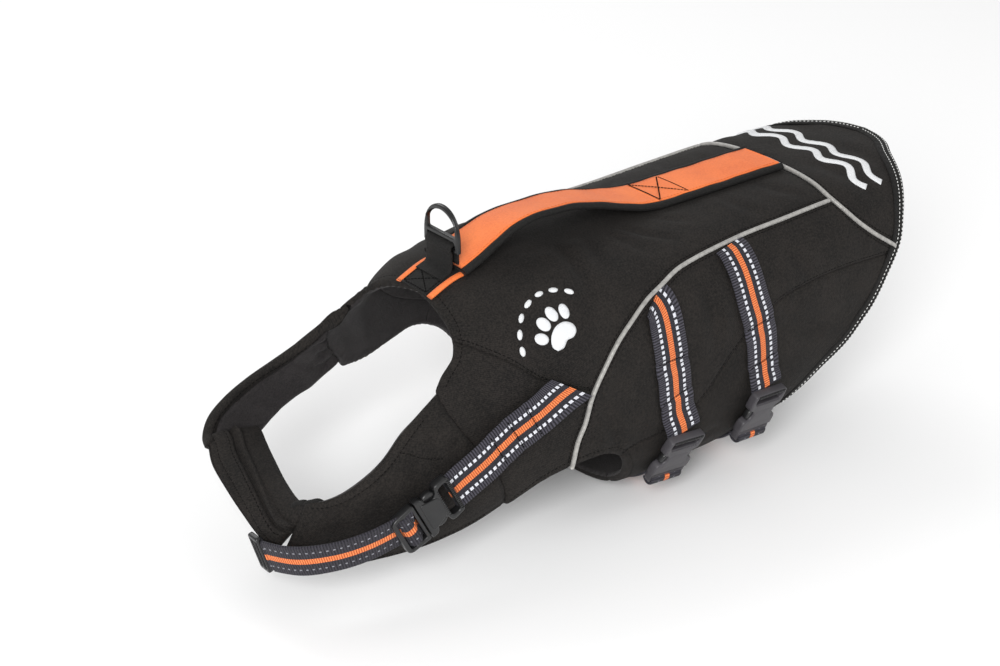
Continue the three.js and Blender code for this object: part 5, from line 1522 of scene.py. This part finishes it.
# ------------------------------------------------------------------ embroidery
def applique(name, shapes, x0, u0, turn, low=0.2, high=1.35, step=1.6):
    """Raised embroidery on the hull: shapes are closed outlines in local millimetres,
    local x towards the tail and local y towards the spine line before the turn."""
    side = -1 if u0 < 0 else 1
    c_, s_ = math.cos(turn), math.sin(turn)
    verts, faces, uv = [], [], []
    for shape in shapes:
        P = np.array(shape, float)
        lo, hi = P.min(0), P.max(0)
        gx, gy = np.meshgrid(np.arange(lo[0], hi[0], step), np.arange(lo[1], hi[1], step), indexing="ij")
        g = np.stack([gx.ravel(), gy.ravel()], 1)
        a, b = P, np.roll(P, -1, 0)
        cr_ = np.zeros(len(g), int)
        for (ax, ay), (bx_, by_) in zip(a, b):
            hit = (ay > g[:, 1]) != (by_ > g[:, 1])
            with np.errstate(divide="ignore", invalid="ignore"):
                xi = ax + (g[:, 1] - ay) / (by_ - ay) * (bx_ - ax)
            cr_ += (hit & (g[:, 0] < xi)).astype(int)
        g = g[cr_ % 2 == 1]
        if len(g):
            d_, _ = near(g, even(P, 0.4, True))
            g = g[d_ > step * 0.5]
        n_ = len(P)
        co = [Vector(p) for p in P] + [Vector(p) for p in g]
        v_, e_, f_, _, oe_, of_ = delaunay_2d_cdt(co, [], [list(range(n_))], 1, 1e-4)
        Q = np.array([(p.x, p.y) for p in v_])
        rim_d, _ = near(Q, even(P, 0.4, True))
        h = low + (high - low) * (1 - np.exp(-rim_d / 0.5)) * 0.8 + 0.2 * (high - low)
        X = x0 + Q[:, 0] * c_ - Q[:, 1] * s_
        U = u0 - side * (Q[:, 0] * s_ + Q[:, 1] * c_)
        top_, low_ = place(X, U, cloth_off(X, U) + h * 0.75), place(X, U, np.full(len(Q), -1.6))
        i0 = len(verts)
        m_ = len(Q)
        verts += list(top_) + list(low_)
        uv += [tuple(q) for q in Q] * 2
        cnt = {}
        for t_ in f_:
            faces.append(tuple(i0 + i for i in t_))
            faces.append(tuple(i0 + m_ + i for i in reversed(t_)))
            for a_, b_ in zip(t_, list(t_[1:]) + [t_[0]]):
                cnt.setdefault((min(a_, b_), max(a_, b_)), []).append((a_, b_))
        for key, use in cnt.items():
            if len(use) == 1:
                a_, b_ = use[0]
                faces.append((i0 + b_, i0 + a_, i0 + m_ + a_, i0 + m_ + b_))
    ob_ = build(name, verts, faces, SATIN, uv=uv)
    return ob_


def ellipse(cx, cy, a, b, turn=0.0, n=28):
    t_ = np.linspace(0, 2 * math.pi, n, endpoint=False)
    x_, y_ = a * np.cos(t_), b * np.sin(t_)
    c_, s_ = math.cos(turn), math.sin(turn)
    return np.stack([cx + x_ * c_ - y_ * s_, cy + x_ * s_ + y_ * c_], 1)


def ribbon(points, width):
    P = even(np.array(points, float), 1.2)
    t_ = tangents(P)
    n_ = np.stack([-t_[:, 1], t_[:, 0]], 1) * width / 2
    return np.vstack([P + n_, (P - n_)[::-1]])


def waves(length, amp, wavelength, y0, phase=0.0):
    x_ = np.linspace(-length / 2, length / 2, 80)
    return np.stack([x_, y0 + amp * np.sin(2 * math.pi * x_ / wavelength + phase)], 1)


pad = smooth([(-8.5, -5.5), (-9.5, -1), (-6, 4.2), (0, 6.2), (6, 4.2), (9.5, -1), (8.5, -5.5), (4.2, -7), (0, -5.4), (-4.2, -7), (-8.5, -5.5)], 60)[:-1]
paw = [pad, ellipse(-11.3, 8.2, 3.3, 4.9, 0.45), ellipse(-4.1, 13.2, 3.5, 5.2, 0.12), ellipse(4.1, 13.2, 3.5, 5.2, -0.12), ellipse(11.3, 8.2, 3.3, 4.9, -0.45)]
for k in range(7):
    a = math.radians(158 - 22.5 * k)
    paw.append(ellipse(26.5 * math.cos(a), 3.5 + 25.5 * math.sin(a), 3.1, 1.7, a - math.pi / 2, 18))
applique("shoulder_embroidery", [np.asarray(q) * 1.12 for q in paw], -79, -97, 0.42)
yoke_waves = [ribbon([(y, x) for x, y in waves(146, 4.4, 36.5, k, 0.0)], 6.2) for k in (0, 17)]
applique("yoke_embroidery", yoke_waves, 236, 1e-6, 0.0)

# ------------------------------------------------------------------ stage, light, camera
size_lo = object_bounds()[0]
floor_me = bpy.data.meshes.new("floor")
floor_me.from_pydata([(-8, -8, 0), (8, -8, 0), (8, 8, 0), (-8, 8, 0)], [], [(0, 1, 2, 3)])
floor = bpy.data.objects.new("floor", floor_me)
bpy.context.scene.collection.objects.link(floor)
floor.location = (0, 0, size_lo[2] - 0.002)
fm, ft, fb = material("floor_white", (0.92, 0.92, 0.92), 0.9, Specular_IOR_Level=0.1)
floor_me.materials.append(fm)

world = bpy.data.worlds.new("world")
bpy.context.scene.world = world
world.use_nodes = True
bg = world.node_tree.nodes["Background"]
bg.inputs[0].default_value = (1, 1, 1, 1)
bg.inputs[1].default_value = 0.62


def area(name, location, target, size, power, color=(1, 1, 1)):
    li = bpy.data.lights.new(name, "AREA")
    li.shape = "DISK"
    li.size = size
    li.energy = power
    li.color = color
    ob_ = bpy.data.objects.new(name, li)
    ob_.location = location
    ob_.rotation_mode = "QUATERNION"
    ob_.rotation_quaternion = (Vector(target) - Vector(location)).to_track_quat("-Z", "Y")
    bpy.context.scene.collection.objects.link(ob_)


area("key", (-1.95, -1.8, 1.3), (-0.05, 0, -0.08), 1.3, 76)
area("fill", (1.9, -1.5, 1.2), (0.05, 0, -0.1), 1.8, 11)
area("back", (0.3, 1.9, 1.7), (0, 0, 0), 1.6, 17)

cam = bpy.data.cameras.new("camera")
cam.sensor_width = 36
cam.lens = 2136 * 36 / 1000
cam.clip_start, cam.clip_end = 0.05, 60
cam_o = bpy.data.objects.new("camera", cam)
bpy.context.scene.collection.objects.link(cam_o)
az, el = math.radians(-38), math.radians(26)
d = Vector((math.sin(az) * math.cos(el), -math.cos(az) * math.cos(el), math.sin(el)))
r = Vector((math.cos(az), math.sin(az), 0))
up = d.cross(r)
m = Matrix.Identity(4)
for i, a in enumerate((r, up, d)):
    for j in range(3):
        m[j][i] = a[j]
m.translation = Vector((-0.92686, -1.10178, 0.61985))
cam_o.matrix_world = m
bpy.context.scene.camera = cam_o
bpy.context.scene.view_settings.view_transform = "Standard"
